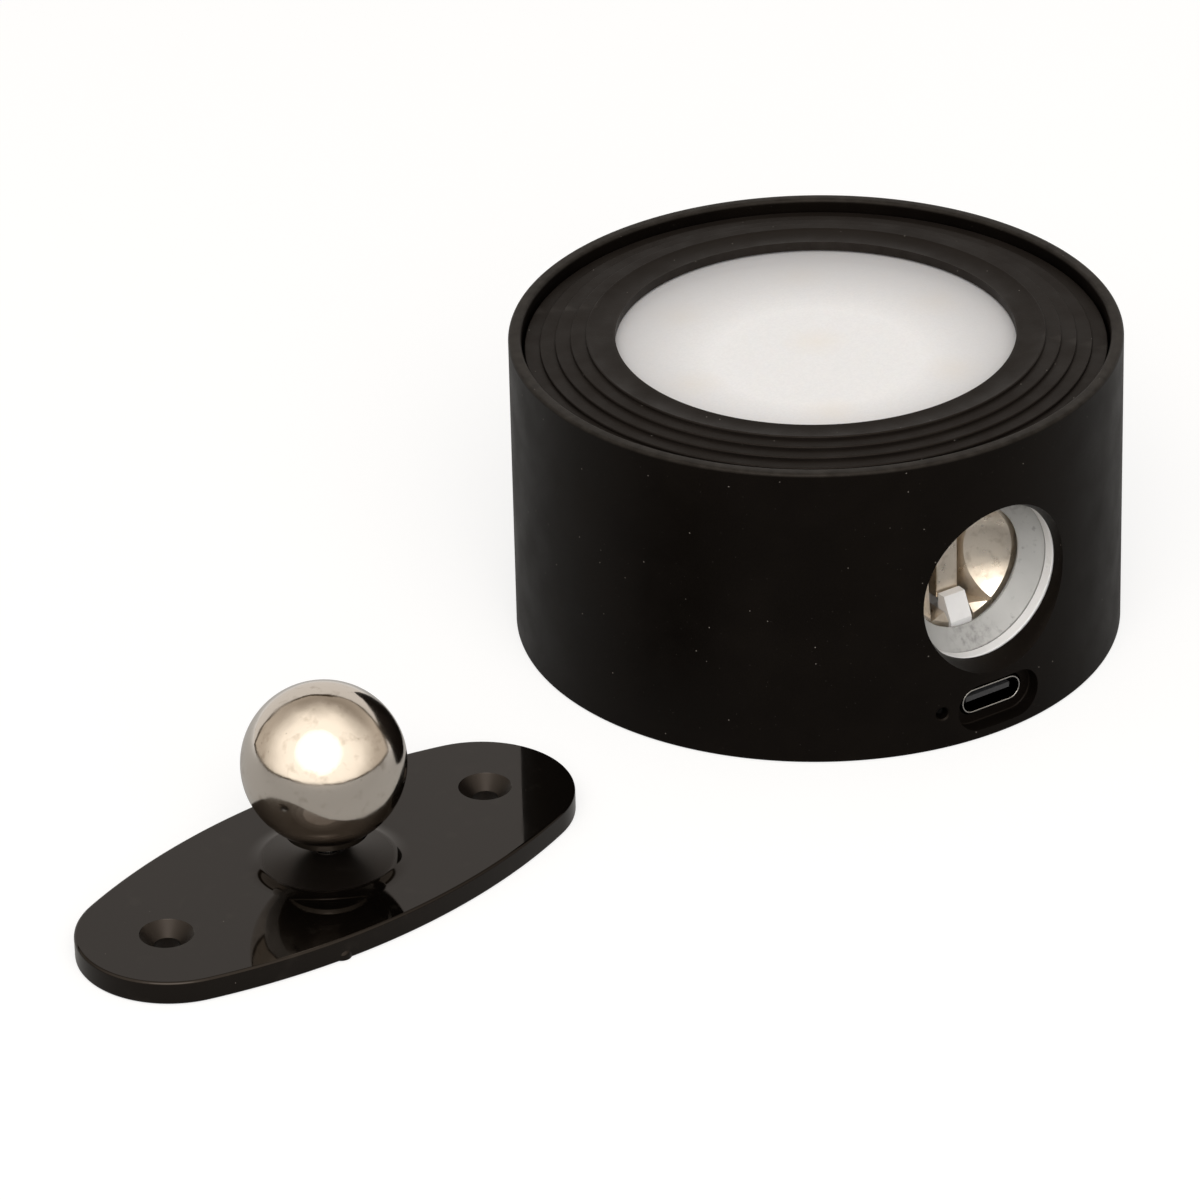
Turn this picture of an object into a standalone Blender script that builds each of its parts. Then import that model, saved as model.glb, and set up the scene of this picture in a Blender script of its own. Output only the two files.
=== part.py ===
"""Magnetic wall light: a round rechargeable lamp with a ball socket in its side, and the wall bracket
whose steel ball the magnet in that socket holds.

Metres, +Z up. The lamp stands on its closed end with its light facing up, its axis on Z and its
socket facing -Y. The bracket lies on its back beside it, with its ball up.
"""

import math

import bmesh
import bpy
from mathutils import Vector

# Fits shared by all pieces
GAP = 0.0003  # between two pieces that touch
OVERRUN = 0.002  # how far a cutter runs past the wall that it cuts
ROOT = 0.0006  # how far a boss reaches into the wall that it stands on
SCREW_SLACK = 0.00025  # radial play of a screw in its hole
WELD = 0.000001  # points this near are one

# Housing: a cup with its rim up
LAMP_RADIUS = 0.0385
LAMP_HEIGHT = 0.0403
HOUSING_WALL = 0.00165
HOUSING_FLOOR = 0.0018
RIM_ROUND = 0.00045
BASE_CHAMFER = 0.0002
SNAP_GROOVE_DEPTH = 0.0005
SNAP_GROOVE_HEIGHT = 0.0014
SNAP_GROOVE_DROP = 0.0045  # from the rim to the middle of the groove

# Ball socket. A setback runs inwards from the lamp's round side, a reach outwards from its axis
BALL_RADIUS = 0.010
SOCKET_HEIGHT = 0.0202
DOCKED_SETBACK = 0.00145  # to the centre of the ball when it sits in the socket
HOLE_SLACK = 0.0005
HOLE_FLARE = 0.0008
HOLE_FLARE_DEPTH = 0.0020
SOCKET_PAD_WALL = 0.0012
SOCKET_SEAT_SETBACK = 0.0031
SOCKET_PAD_SETBACK = 0.0045
RING_WALL = 0.0010
RING_LIP = 0.0010
RING_LENGTH = 0.0042
GRIP_WALL = 0.0008
GRIP_SLACK = 0.000265  # from its throat to the docked ball
GRIP_EDGE = 0.00035
HOLDER_FLANGE = 0.0012
HOLDER_RADIUS = 0.0104
HOLDER_WALL = 0.0012
HOLDER_FLOOR = 0.0012
EAR_REACH = 0.0030  # from the flange's edge to the middle of an ear
EAR_RADIUS = 0.0026
EAR_FLARE = 0.0012  # how much wider its arm is where it meets the flange
EAR_POST_RADIUS = 0.0022
SHOE_DEPTH = 0.0068
SHOE_LEAD = 0.00675  # from the docked ball's centre to the front of the pole shoes
DISH_SLACK = 0.0003
SHOE_BEVEL_DEPTH = 0.0008  # along the edge beside the magnet
SHOE_BEVEL_WIDTH = 0.0004
MAGNET_WIDTH = 0.0032
MAGNET_LENGTH = 0.0112
MAGNET_SETBACK = 0.0029  # from the front of the pole shoes
TAB_HOLD = 0.0008  # how far a tab reaches over the magnet's end
TAB_LEDGE = 0.0012
TAB_SLOPE_DEPTH = 0.0015
TAB_SLOPE_DROP = 0.0030

# Charging port and its light
PORT_HEIGHT = 0.0045
PORT_FACE_SETBACK = 0.0019
PORT_WIDTH = 0.00894
PORT_THICKNESS = 0.00326
PORT_LENGTH = 0.0073
PORT_WALL = 0.0003
PORT_POCKET_WIDTH = 0.0123
PORT_POCKET_HEIGHT = 0.0064
PORT_PAD_WIDTH = 0.0160
PORT_PAD_SETBACK = 0.0039
TONGUE_WIDTH = 0.0067
TONGUE_THICKNESS = 0.0007
TONGUE_SETBACK = 0.0008
PORT_BLOCK_LENGTH = 0.0016
PORT_SLACK = 0.00015
INDICATOR_ANGLE_DEG = 12.4  # round the lamp's axis from the port
INDICATOR_HEIGHT = 0.0050
INDICATOR_HOLE_RADIUS = 0.0008
PIPE_RADIUS = 0.00045
PIPE_SETBACK = 0.0010
PIPE_LENGTH = 0.0030
INDICATOR_LED_SIDE = 0.0010

# Control board
BOARD_THICKNESS = 0.0010
BOARD_EDGE_ROOM = 0.00345  # from its round edge to the housing's wall
BOARD_BACK_EDGE = 0.0060  # from the lamp's axis to the straight edge
BOARD_POST_RADIUS = 0.0025
BOARD_POST_INSET = 0.00562  # from the board's round edge
BOARD_POST_DEG = 30.26  # down from the lamp's X axis
REAR_POST_INSET = 0.0045  # from the board's straight edge
CHIP_SIDE = 0.0050
CHIP_HEIGHT = 0.0012
CHIP_SPREAD = 0.0040
CHIP_SETBACK = 0.0190
PLUG_WIDTH = 0.0060
PLUG_DEPTH = 0.0045
PLUG_HEIGHT = 0.0048
PLUG_SPREAD = 0.0150
PLUG_SETBACK = 0.0150
TOUCH_DEG = 31.0  # round the lamp's axis from its front
TOUCH_REACH_SHARE = 0.698  # of the board's radius
TOUCH_PAD_RADIUS = 0.0070
FOIL = 0.0002
SPRING_RADIUS = 0.0022
SPRING_WIRE = 0.00025
SPRING_TURNS = 5
SPRING_POINTS = 10  # on each turn

# Battery
CELL_RADIUS = 0.0092
CELL_END_ROOM = 0.00107  # from the corner of its end to the housing's wall
CELL_BACK = 0.0060  # from the lamp's axis to the cell's
CELL_ROUND = 0.0008
CELL_TAB_THICKNESS = 0.0003
CELL_TAB_WIDTH = 0.0050
CELL_TAB_HEIGHT = 0.0120
FOAM_THICKNESS = 0.0010
FOAM_INSET = 0.0020
CRADLE_INSET = 0.0075  # from each end of the cell
CRADLE_WIDTH = 0.0170
CRADLE_BASE = 0.0012
CRADLE_CELL_LIFT = 0.0018  # from the base to the lowest line of the cell
SADDLE_WIDTH = 0.0050
SADDLE_HEIGHT = 0.0075

# Light head: bezel, diffuser and what is under them
BEZEL_GAP = 0.00035
BEZEL_DROP = 0.0016  # from the rim to the bezel's outer edge
RING_PITCH = 0.00193
RING_COUNT = 4
BEZEL_WIDTH = 0.0114  # from its outer edge to its lip
LIP_DROP = 0.00025
COVE_DEPTH = 0.0002
RISER_ROUND = 0.00012
BEZEL_THICKNESS = 0.0013
SKIRT_WALL = 0.0012
SKIRT_HEIGHT = 0.0040
HOOK_WIDTH = 0.0060
HOOK_HEIGHT = 0.0008
HOOK_COUNT = 4
DIFFUSER_DROP = 0.00175  # from the rim to the diffuser's face
DIFFUSER_THICKNESS = 0.0015
DIFFUSER_LEDGE = 0.0014  # how far it reaches under the lip
REFLECTOR_LEDGE = 0.0006
REFLECTOR_WALL = 0.0008
REFLECTOR_SLOPE = 0.0015
REFLECTOR_HEIGHT = 0.00445
LED_BOARD_THICKNESS = 0.0010
LED_SIDE = 0.0028
LED_HEIGHT = 0.0007
LED_INSET = 0.0081  # from the reflector's edge to the ring of LEDs
LED_COUNT = 6
LED_FIRST_DEG = 0
BOARD_SCREW_SHARE = 0.526  # of the way from the middle LED to the ring of LEDs
CARRIER_THICKNESS = 0.0015
CARRIER_EDGE_ROOM = 0.0007  # from its edge to the bezel's skirt
NOTCH_SIDE_ROOM = 0.0020  # beside the socket's flange
NOTCH_BACK_ROOM = 0.0010  # behind the socket's cup
HEAD_POST_RADIUS = 0.0022
HEAD_POST_INSET = 0.0031  # from the carrier's edge
HEAD_POST_COUNT = 4
HEAD_POST_FIRST_DEG = 45

# Small pan-head screws and the leads
SCREW_RADIUS = 0.00085
SCREW_HEAD_RADIUS = 0.0018
SCREW_HEAD_HEIGHT = 0.0012
SCREW_HEAD_ROUND = 0.0003
SCREW_LENGTH = 0.0045
SCREW_SLOT = 0.0005
LEAD_RADIUS = 0.0006
LEAD_HOLE_RADIUS = 0.0022
LEAD_HOLE_SETBACK = 0.0120
LEAD_RISE = 0.0030
LEAD_BEND_SPREAD = 0.0240
LEAD_BEND_SETBACK = 0.0125
LEAD_BEND_ROOM = 0.0040

# Wall bracket
BRACKET_X = -0.0861
BRACKET_Y = -0.0186
BRACKET_TURN_DEG = 6.9
PLATE_THICKNESS = 0.0030
PLATE_SIDE_RADIUS = 0.0830
PLATE_END_RADIUS = 0.0120
PLATE_END_OFFSET = 0.0235
PLATE_ROUND = 0.00035
PLATE_HOLE_SPACING = 0.0496
PLATE_HOLE_RADIUS = 0.0016
PLATE_SINK_RADIUS = 0.00315
PLATE_SINK_DEPTH = 0.0016
BOSS_BASE_RADIUS = 0.0101
BOSS_TOP_RADIUS = 0.0022
BOSS_HEIGHT = 0.0017
NECK_LENGTH = 0.0023
GATE_RADIUS = 0.0007  # a stub that moulding left on the plate's front edge
GATE_HEIGHT = 0.0011
GATE_SIDE = 0.0100  # from the plate's middle
GATE_INSET = 0.0003
COLLAR_RADIUS = 0.0051  # a flat seat turned under the ball
COLLAR_LIFT = 0.0007  # from the ball's lowest point to the seat
STUD_RADIUS = 0.0015
STUD_HEAD_RADIUS = 0.0031
STUD_HEAD_DEPTH = 0.0015
STUD_GRIP = 0.0078  # how far it reaches into the ball
BOSS_CURVE = 1.2  # above 1 the boss's side is hollow
BOSS_TUCK = 0.0001  # its edge starts this far inside the plate

# Facets
DRUM_STEPS = 72
RING_STEPS = 40
SMALL_STEPS = 16
EAR_STEPS = 9
ROUND_STEPS = 3
BALL_STEPS = 40
DISH_STEPS = 64
MOUTH_STEPS = 56
CELL_STEPS = 24
HOLE_STEPS = 24
COVE_STEPS = 4
BOSS_STEPS = 6
OUTLINE_STEPS = 16
ROUTE_ROUNDS = 2
CORNER_SHARE = 0.25  # of each stretch of a lead that bends
WIRE_ROUNDNESS = 1
EDGE_ANGLE_DEG = 60
SHARP_ANGLE_DEG = 35

OUTWARDS = math.pi / 2  # turns a piece's own Z to the lamp's -Y

# Places that follow from the sizes
HOUSING_INNER = LAMP_RADIUS - HOUSING_WALL
DOCKED_REACH = LAMP_RADIUS - DOCKED_SETBACK
SOCKET_SEAT_REACH = LAMP_RADIUS - SOCKET_SEAT_SETBACK
SOCKET_PAD_REACH = LAMP_RADIUS - SOCKET_PAD_SETBACK
HOLE_RADIUS = BALL_RADIUS + HOLE_SLACK
RING_RADIUS = HOLE_RADIUS + 2 * RING_WALL
RING_FRONT = SOCKET_SEAT_REACH - GAP
RING_BACK = RING_FRONT - RING_LENGTH
GRIP_FRONT = RING_FRONT - RING_LIP - GAP
GRIP_BACK = RING_BACK
GRIP_THROAT = math.sqrt(BALL_RADIUS**2 - (DOCKED_REACH - GRIP_BACK) ** 2) + GRIP_SLACK
EAR_CENTRE = RING_RADIUS + EAR_REACH
FLANGE_FRONT = RING_BACK - GAP
FLANGE_BACK = FLANGE_FRONT - HOLDER_FLANGE
SHOE_FRONT = DOCKED_REACH - SHOE_LEAD
SHOE_BACK = SHOE_FRONT - SHOE_DEPTH
HOLDER_BACK = SHOE_BACK - GAP - HOLDER_FLOOR
MAGNET_FRONT = SHOE_FRONT - MAGNET_SETBACK
PORT_FACE_REACH = LAMP_RADIUS - PORT_FACE_SETBACK
PORT_PAD_REACH = LAMP_RADIUS - PORT_PAD_SETBACK
BOARD_RADIUS = HOUSING_INNER - BOARD_EDGE_ROOM
BOARD_BOTTOM = PORT_HEIGHT + PORT_THICKNESS / 2 + GAP
BOARD_TOP = BOARD_BOTTOM + BOARD_THICKNESS
BOARD_POST_REACH = BOARD_RADIUS - BOARD_POST_INSET
TOUCH_REACH = BOARD_RADIUS * TOUCH_REACH_SHARE
FLOOR_SEAT = HOUSING_FLOOR + GAP
CRADLE_BOTTOM = FLOOR_SEAT + FOAM_THICKNESS + GAP
CRADLE_TOP = CRADLE_BOTTOM + CRADLE_BASE
CELL_HEIGHT = CRADLE_TOP + CRADLE_CELL_LIFT + CELL_RADIUS
CELL_HALF_LENGTH = math.sqrt(HOUSING_INNER**2 - (CELL_BACK + CELL_RADIUS) ** 2) - CELL_END_ROOM
BEZEL_RADIUS = HOUSING_INNER - BEZEL_GAP
BEZEL_EDGE = LAMP_HEIGHT - BEZEL_DROP
BEZEL_UNDERSIDE = BEZEL_EDGE - BEZEL_THICKNESS
CREST_RADIUS = BEZEL_RADIUS - RING_COUNT * RING_PITCH
LIP_RADIUS = BEZEL_RADIUS - BEZEL_WIDTH
DIFFUSER_RADIUS = LIP_RADIUS + DIFFUSER_LEDGE
DIFFUSER_TOP = LAMP_HEIGHT - DIFFUSER_DROP
DIFFUSER_BOTTOM = DIFFUSER_TOP - DIFFUSER_THICKNESS
REFLECTOR_RADIUS = DIFFUSER_RADIUS + REFLECTOR_LEDGE
REFLECTOR_TOP = DIFFUSER_BOTTOM - GAP
REFLECTOR_BOTTOM = REFLECTOR_TOP - REFLECTOR_HEIGHT
LED_BOARD_TOP = REFLECTOR_BOTTOM - GAP
LED_BOARD_HEIGHT = LED_BOARD_TOP - LED_BOARD_THICKNESS
LED_CIRCLE = REFLECTOR_RADIUS - LED_INSET
CARRIER_TOP = LED_BOARD_HEIGHT - GAP
CARRIER_BOTTOM = CARRIER_TOP - CARRIER_THICKNESS
CARRIER_RADIUS = BEZEL_RADIUS - SKIRT_WALL - CARRIER_EDGE_ROOM
HEAD_POST_CIRCLE = CARRIER_RADIUS - HEAD_POST_INSET
BOSS_TOP = PLATE_THICKNESS + BOSS_HEIGHT
BALL_HEIGHT = BOSS_TOP + NECK_LENGTH - COLLAR_LIFT + BALL_RADIUS

BLACK_PLASTIC = ("black_plastic", (0.012, 0.011, 0.011), 0.55, 0.0)
BEZEL_PLASTIC = ("bezel_plastic", (0.020, 0.018, 0.017), 0.45, 0.0)
GLOSSY_BLACK = ("glossy_black", (0.006, 0.006, 0.006), 0.08, 0.0)
OPAL = ("opal", (0.86, 0.83, 0.82), 0.45, 0.0)
WHITE_PLASTIC = ("white_plastic", (0.85, 0.85, 0.83), 0.35, 0.0)
GREY_SILICONE = ("grey_silicone", (0.50, 0.51, 0.49), 0.5, 0.0)
NICKEL = ("nickel", (0.66, 0.60, 0.53), 0.15, 1.0)
STEEL = ("steel", (0.55, 0.55, 0.54), 0.3, 1.0)
ALUMINIUM = ("aluminium", (0.72, 0.72, 0.72), 0.4, 1.0)
COPPER = ("copper", (0.72, 0.35, 0.22), 0.35, 1.0)
BOARD_GREEN = ("board_green", (0.02, 0.16, 0.07), 0.45, 0.0)
LED_YELLOW = ("led_yellow", (0.85, 0.62, 0.18), 0.4, 0.0)
DARK_PLASTIC = ("dark_plastic", (0.03, 0.03, 0.03), 0.5, 0.0)
CELL_BLUE = ("cell_blue", (0.05, 0.16, 0.45), 0.35, 0.0)
GREY_FOAM = ("grey_foam", (0.25, 0.25, 0.25), 0.9, 0.0)
SMOKED_LENS = ("smoked_lens", (0.03, 0.035, 0.035), 0.15, 0.0)
RED_LEAD = ("red_lead", (0.55, 0.03, 0.02), 0.5, 0.0)
DARK_LEAD = ("dark_lead", (0.02, 0.02, 0.02), 0.5, 0.0)


def clear_scene():
    for obj in list(bpy.data.objects):
        bpy.data.objects.remove(obj, do_unlink=True)


def new_collection(name, hidden):
    found = bpy.data.collections.new(name)
    bpy.context.scene.collection.children.link(found)
    found.hide_render = hidden
    return found


def material(spec):
    name, colour, roughness, metallic = spec
    found = bpy.data.materials.get(name)
    if found is None:
        found = bpy.data.materials.new(name)
        found.use_nodes = True
        shader = found.node_tree.nodes["Principled BSDF"]
        shader.inputs["Base Color"].default_value = (*colour, 1)
        shader.inputs["Roughness"].default_value = roughness
        shader.inputs["Metallic"].default_value = metallic
        found.diffuse_color = (*colour, 1)
    return found


def add_object(name, mesh, spec, parent=None, place=(0, 0, 0), turn=(0, 0, 0)):
    """A sub-part where spec is a material, or a cutter where it is None."""
    obj = bpy.data.objects.new(name, mesh)
    obj.location = place
    obj.rotation_euler = turn
    obj.parent = parent
    if spec is None:
        CUTTERS.objects.link(obj)
        obj.hide_render = True
        obj.display_type = "WIRE"
    else:
        PARTS.objects.link(obj)
        mesh.materials.append(material(spec))
    return obj


def add_axis(name, place, turn):
    empty = bpy.data.objects.new(name, None)
    empty.location = place
    empty.rotation_euler = turn
    PARTS.objects.link(empty)
    return empty


def turned(name, profile, steps, spec, closed=False, **placing):
    """A profile of (radius, height) points turned round Z. It runs down its outer side."""
    mesh = bpy.data.meshes.new(name)
    ends = [(i, i + 1) for i in range(len(profile) - 1)]
    if closed:
        ends.append((len(profile) - 1, 0))
    mesh.from_pydata([(radius, 0, height) for radius, height in profile], ends, [])
    obj = add_object(name, mesh, spec, **placing)
    screw = obj.modifiers.new("Turn", "SCREW")
    screw.steps = screw.render_steps = steps
    screw.use_merge_vertices = True
    screw.merge_threshold = 0.00001
    return obj


def rod(name, radius, bottom, top, steps, spec, **placing):
    profile = [(0, top), (radius, top), (radius, bottom), (0, bottom)]
    return turned(name, profile, steps, spec, **placing)


def block(name, low, high, spec, **placing):
    mesh = bpy.data.meshes.new(name)
    shape = bmesh.new()
    bmesh.ops.create_cube(shape, size=1)
    low, high = Vector(low), Vector(high)
    bmesh.ops.scale(shape, vec=high - low, verts=shape.verts)
    bmesh.ops.translate(shape, vec=(low + high) / 2, verts=shape.verts)
    shape.to_mesh(mesh)
    shape.free()
    return add_object(name, mesh, spec, **placing)


def arc(centre_x, centre_y, radius, start, end, steps):
    turn = (end - start) / steps
    angles = [start + turn * i for i in range(steps + 1)]
    return [(centre_x + radius * math.cos(a), centre_y + radius * math.sin(a)) for a in angles]


def around(radius, count, first_deg=0):
    """Points evenly spaced on a circle round Z."""
    angles = [math.radians(first_deg) + math.tau * i / count for i in range(count)]
    return [(radius * math.cos(a), radius * math.sin(a)) for a in angles]


def curve_mesh(name, curve):
    """The closed mesh of a curve, with its caps welded on."""
    guide = bpy.data.objects.new(name + "_guide", curve)
    bpy.context.scene.collection.objects.link(guide)
    bpy.context.view_layer.update()
    graph = bpy.context.evaluated_depsgraph_get()
    mesh = bpy.data.meshes.new_from_object(guide.evaluated_get(graph))
    mesh.name = name
    shape = bmesh.new()
    shape.from_mesh(mesh)
    bmesh.ops.remove_doubles(shape, verts=shape.verts, dist=WELD)
    bmesh.ops.recalc_face_normals(shape, faces=shape.faces)
    shape.to_mesh(mesh)
    shape.free()
    bpy.data.objects.remove(guide, do_unlink=True)
    return mesh


def slab(name, outline, bottom, top, spec, **placing):
    """A flat outline of (x, y) points, thick along Z."""
    curve = bpy.data.curves.new(name, "CURVE")
    curve.dimensions = "2D"
    curve.fill_mode = "BOTH"
    curve.extrude = (top - bottom) / 2
    spline = curve.splines.new("POLY")
    spline.points.add(len(outline) - 1)
    for point, (x, y) in zip(spline.points, outline):
        point.co = (x, y, (top + bottom) / 2, 1)
    spline.use_cyclic_u = True
    return add_object(name, curve_mesh(name, curve), spec, **placing)


def wire(name, route, radius, spec, **placing):
    """A round wire along (x, y, z) points."""
    curve = bpy.data.curves.new(name, "CURVE")
    curve.dimensions = "3D"
    curve.bevel_depth = radius
    curve.bevel_resolution = WIRE_ROUNDNESS
    curve.use_fill_caps = True
    spline = curve.splines.new("POLY")
    spline.points.add(len(route) - 1)
    for point, place in zip(spline.points, route):
        point.co = (*place, 1)
    return add_object(name, curve_mesh(name, curve), spec, **placing)


def smooth_route(corners):
    """The route with its corners cut off until it bends softly."""
    route = [Vector(corner) for corner in corners]
    for _ in range(ROUTE_ROUNDS):
        trimmed = [route[0]]
        for start, end in zip(route, route[1:]):
            trimmed += [start.lerp(end, CORNER_SHARE), end.lerp(start, CORNER_SHARE)]
        route = [*trimmed, route[-1]]
    return route


def obround(width, height):
    """The outline of a slot with round ends, lying along X."""
    radius = height / 2
    reach = width / 2 - radius
    right = arc(reach, 0, radius, -math.pi / 2, math.pi / 2, SMALL_STEPS // 2)
    left = arc(-reach, 0, radius, math.pi / 2, 3 * math.pi / 2, SMALL_STEPS // 2)
    return right + left


def combine(obj, tool, operation):
    boolean = obj.modifiers.new(tool.name, "BOOLEAN")
    boolean.operation = operation
    boolean.solver = "EXACT"
    boolean.object = tool


def cut(obj, tool):
    combine(obj, tool, "DIFFERENCE")


def join(obj, tool):
    combine(obj, tool, "UNION")


def keep_inside(obj, tool):
    combine(obj, tool, "INTERSECT")


def screw(name, place, turn=(0, 0, 0), parent=None):
    """A pan-head screw with its tip down and the underside of its head at its origin."""
    profile = [
        (0, SCREW_HEAD_HEIGHT),
        (SCREW_HEAD_RADIUS - SCREW_HEAD_ROUND, SCREW_HEAD_HEIGHT),
        (SCREW_HEAD_RADIUS, SCREW_HEAD_HEIGHT - SCREW_HEAD_ROUND),
        (SCREW_HEAD_RADIUS, 0),
        (SCREW_RADIUS, 0),
        (SCREW_RADIUS, -SCREW_LENGTH + SCREW_RADIUS),
        (0, -SCREW_LENGTH),
    ]
    placing = {"parent": parent, "place": place, "turn": turn}
    obj = turned(name, profile, SMALL_STEPS, STEEL, **placing)
    half = SCREW_SLOT / 2
    low = (-SCREW_HEAD_RADIUS - OVERRUN, -half, SCREW_HEAD_HEIGHT - SCREW_SLOT)
    high = (SCREW_HEAD_RADIUS + OVERRUN, half, SCREW_HEAD_HEIGHT + OVERRUN)
    cut(obj, block(name + "_slot", low, high, None, **placing))
    return obj


def screw_hole(obj, name, place, turn=(0, 0, 0), parent=None):
    """Room for a screw whose head's underside is at the place."""
    radius = SCREW_RADIUS + SCREW_SLACK
    bottom = -SCREW_LENGTH - GAP
    placing = {"parent": parent, "place": place, "turn": turn}
    cut(obj, rod(name, radius, bottom, 0, SMALL_STEPS, None, **placing))


def make_housing():
    rim = LAMP_HEIGHT - RIM_ROUND
    groove_middle = LAMP_HEIGHT - SNAP_GROOVE_DROP
    groove = HOUSING_INNER + SNAP_GROOVE_DEPTH
    profile = [
        (0, HOUSING_FLOOR),
        (HOUSING_INNER, HOUSING_FLOOR),
        (HOUSING_INNER, groove_middle - SNAP_GROOVE_HEIGHT / 2),
        (groove, groove_middle - SNAP_GROOVE_HEIGHT / 2),
        (groove, groove_middle + SNAP_GROOVE_HEIGHT / 2),
        (HOUSING_INNER, groove_middle + SNAP_GROOVE_HEIGHT / 2),
        *arc(HOUSING_INNER + RIM_ROUND, rim, RIM_ROUND, math.pi, math.pi / 2, ROUND_STEPS),
        *arc(LAMP_RADIUS - RIM_ROUND, rim, RIM_ROUND, math.pi / 2, 0, ROUND_STEPS),
        (LAMP_RADIUS, BASE_CHAMFER),
        (LAMP_RADIUS - BASE_CHAMFER, 0),
        (0, 0),
    ]
    housing = turned("housing", profile, DRUM_STEPS, BLACK_PLASTIC)

    mid_wall = LAMP_RADIUS - HOUSING_WALL / 2
    core = rod("housing_core", mid_wall, HOUSING_FLOOR / 2, LAMP_HEIGHT, DRUM_STEPS, None)

    pad_radius = RING_RADIUS + GAP + SOCKET_PAD_WALL
    pad = rod(
        "socket_pad", pad_radius, SOCKET_PAD_REACH, LAMP_RADIUS, RING_STEPS, None, parent=SOCKET
    )
    port_pad = block(
        "port_pad",
        (-PORT_PAD_WIDTH / 2, -PORT_HEIGHT, PORT_PAD_REACH),
        (PORT_PAD_WIDTH / 2, PORT_POCKET_HEIGHT / 2 + ROOT, LAMP_RADIUS),
        None,
        parent=PORT,
    )
    for boss in (pad, port_pad):
        keep_inside(boss, core)
        join(housing, boss)
    for side in (-1, 1):
        ear = (side * EAR_CENTRE, 0, 0)
        boss = rod(
            f"ear_post_{side}", EAR_POST_RADIUS, RING_BACK, LAMP_RADIUS, SMALL_STEPS, None,
            parent=SOCKET, place=ear,
        )
        keep_inside(boss, core)
        join(housing, boss)
    for i, (x, y) in enumerate(BOARD_POSTS):
        post = rod(
            f"board_post_{i}", BOARD_POST_RADIUS, HOUSING_FLOOR - ROOT, BOARD_BOTTOM - GAP,
            SMALL_STEPS, None, place=(x, y, 0),
        )
        join(housing, post)

    seat = rod(
        "socket_seat", RING_RADIUS + GAP, SOCKET_PAD_REACH - OVERRUN, SOCKET_SEAT_REACH,
        RING_STEPS, None, parent=SOCKET,
    )
    cut(housing, seat)
    mouth = [
        (0, LAMP_RADIUS + OVERRUN),
        (HOLE_RADIUS + HOLE_FLARE * (1 + OVERRUN / HOLE_FLARE_DEPTH), LAMP_RADIUS + OVERRUN),
        (HOLE_RADIUS, LAMP_RADIUS - HOLE_FLARE_DEPTH),
        (HOLE_RADIUS, SOCKET_SEAT_REACH - OVERRUN),
        (0, SOCKET_SEAT_REACH - OVERRUN),
    ]
    cut(housing, turned("socket_mouth", mouth, MOUTH_STEPS, None, parent=SOCKET))
    for i, (x, y) in enumerate(BOARD_POSTS):
        screw_hole(housing, f"board_post_hole_{i}", (x, y, BOARD_TOP + GAP))
    for side in (-1, 1):
        ear = (side * EAR_CENTRE, 0, FLANGE_BACK - GAP)
        screw_hole(housing, f"ear_post_hole_{side}", ear, (math.pi, 0, 0), SOCKET)

    pocket = obround(PORT_POCKET_WIDTH, PORT_POCKET_HEIGHT)
    cut(housing, slab(
        "port_pocket", pocket, PORT_FACE_REACH - GAP, LAMP_RADIUS + OVERRUN, None, parent=PORT
    ))
    opening = obround(PORT_WIDTH + 2 * GAP, PORT_THICKNESS + 2 * GAP)
    cut(housing, slab(
        "port_opening", opening, PORT_PAD_REACH - OVERRUN, LAMP_RADIUS, None, parent=PORT
    ))
    cut(housing, rod(
        "indicator_hole", INDICATOR_HOLE_RADIUS, HOUSING_INNER - OVERRUN,
        LAMP_RADIUS + OVERRUN, SMALL_STEPS, None, parent=INDICATOR,
    ))
    return housing


def make_socket():
    ring = [
        (RING_RADIUS, RING_FRONT),
        (RING_RADIUS, RING_BACK),
        (RING_RADIUS - RING_WALL, RING_BACK),
        (RING_RADIUS - RING_WALL, RING_FRONT - RING_LIP),
        (HOLE_RADIUS, RING_FRONT - RING_LIP),
        (HOLE_RADIUS, RING_FRONT),
    ]
    turned("socket_ring", ring, RING_STEPS, WHITE_PLASTIC, closed=True, parent=SOCKET)

    grip_outer = RING_RADIUS - RING_WALL - GAP
    grip = [
        (grip_outer, GRIP_FRONT),
        (grip_outer, GRIP_BACK),
        (GRIP_THROAT, GRIP_BACK),
        (GRIP_THROAT, GRIP_BACK + GRIP_EDGE),
        (grip_outer - GRIP_WALL, GRIP_FRONT),
    ]
    turned("grip_ring", grip, RING_STEPS, GREY_SILICONE, closed=True, parent=SOCKET)

    make_magnet_holder()
    half_width, half_length = MAGNET_WIDTH / 2, MAGNET_LENGTH / 2
    low = (-half_width, -half_length, SHOE_BACK)
    high = (half_width, half_length, MAGNET_FRONT)
    block("magnet", low, high, NICKEL, parent=SOCKET)
    for name, side in (("left", -1), ("right", 1)):
        make_pole_shoe(name, side)
    for name, side in (("left", -1), ("right", 1)):
        place = (side * EAR_CENTRE, 0, FLANGE_BACK - GAP)
        screw(f"holder_screw_{name}", place, (math.pi, 0, 0), SOCKET)


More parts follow.
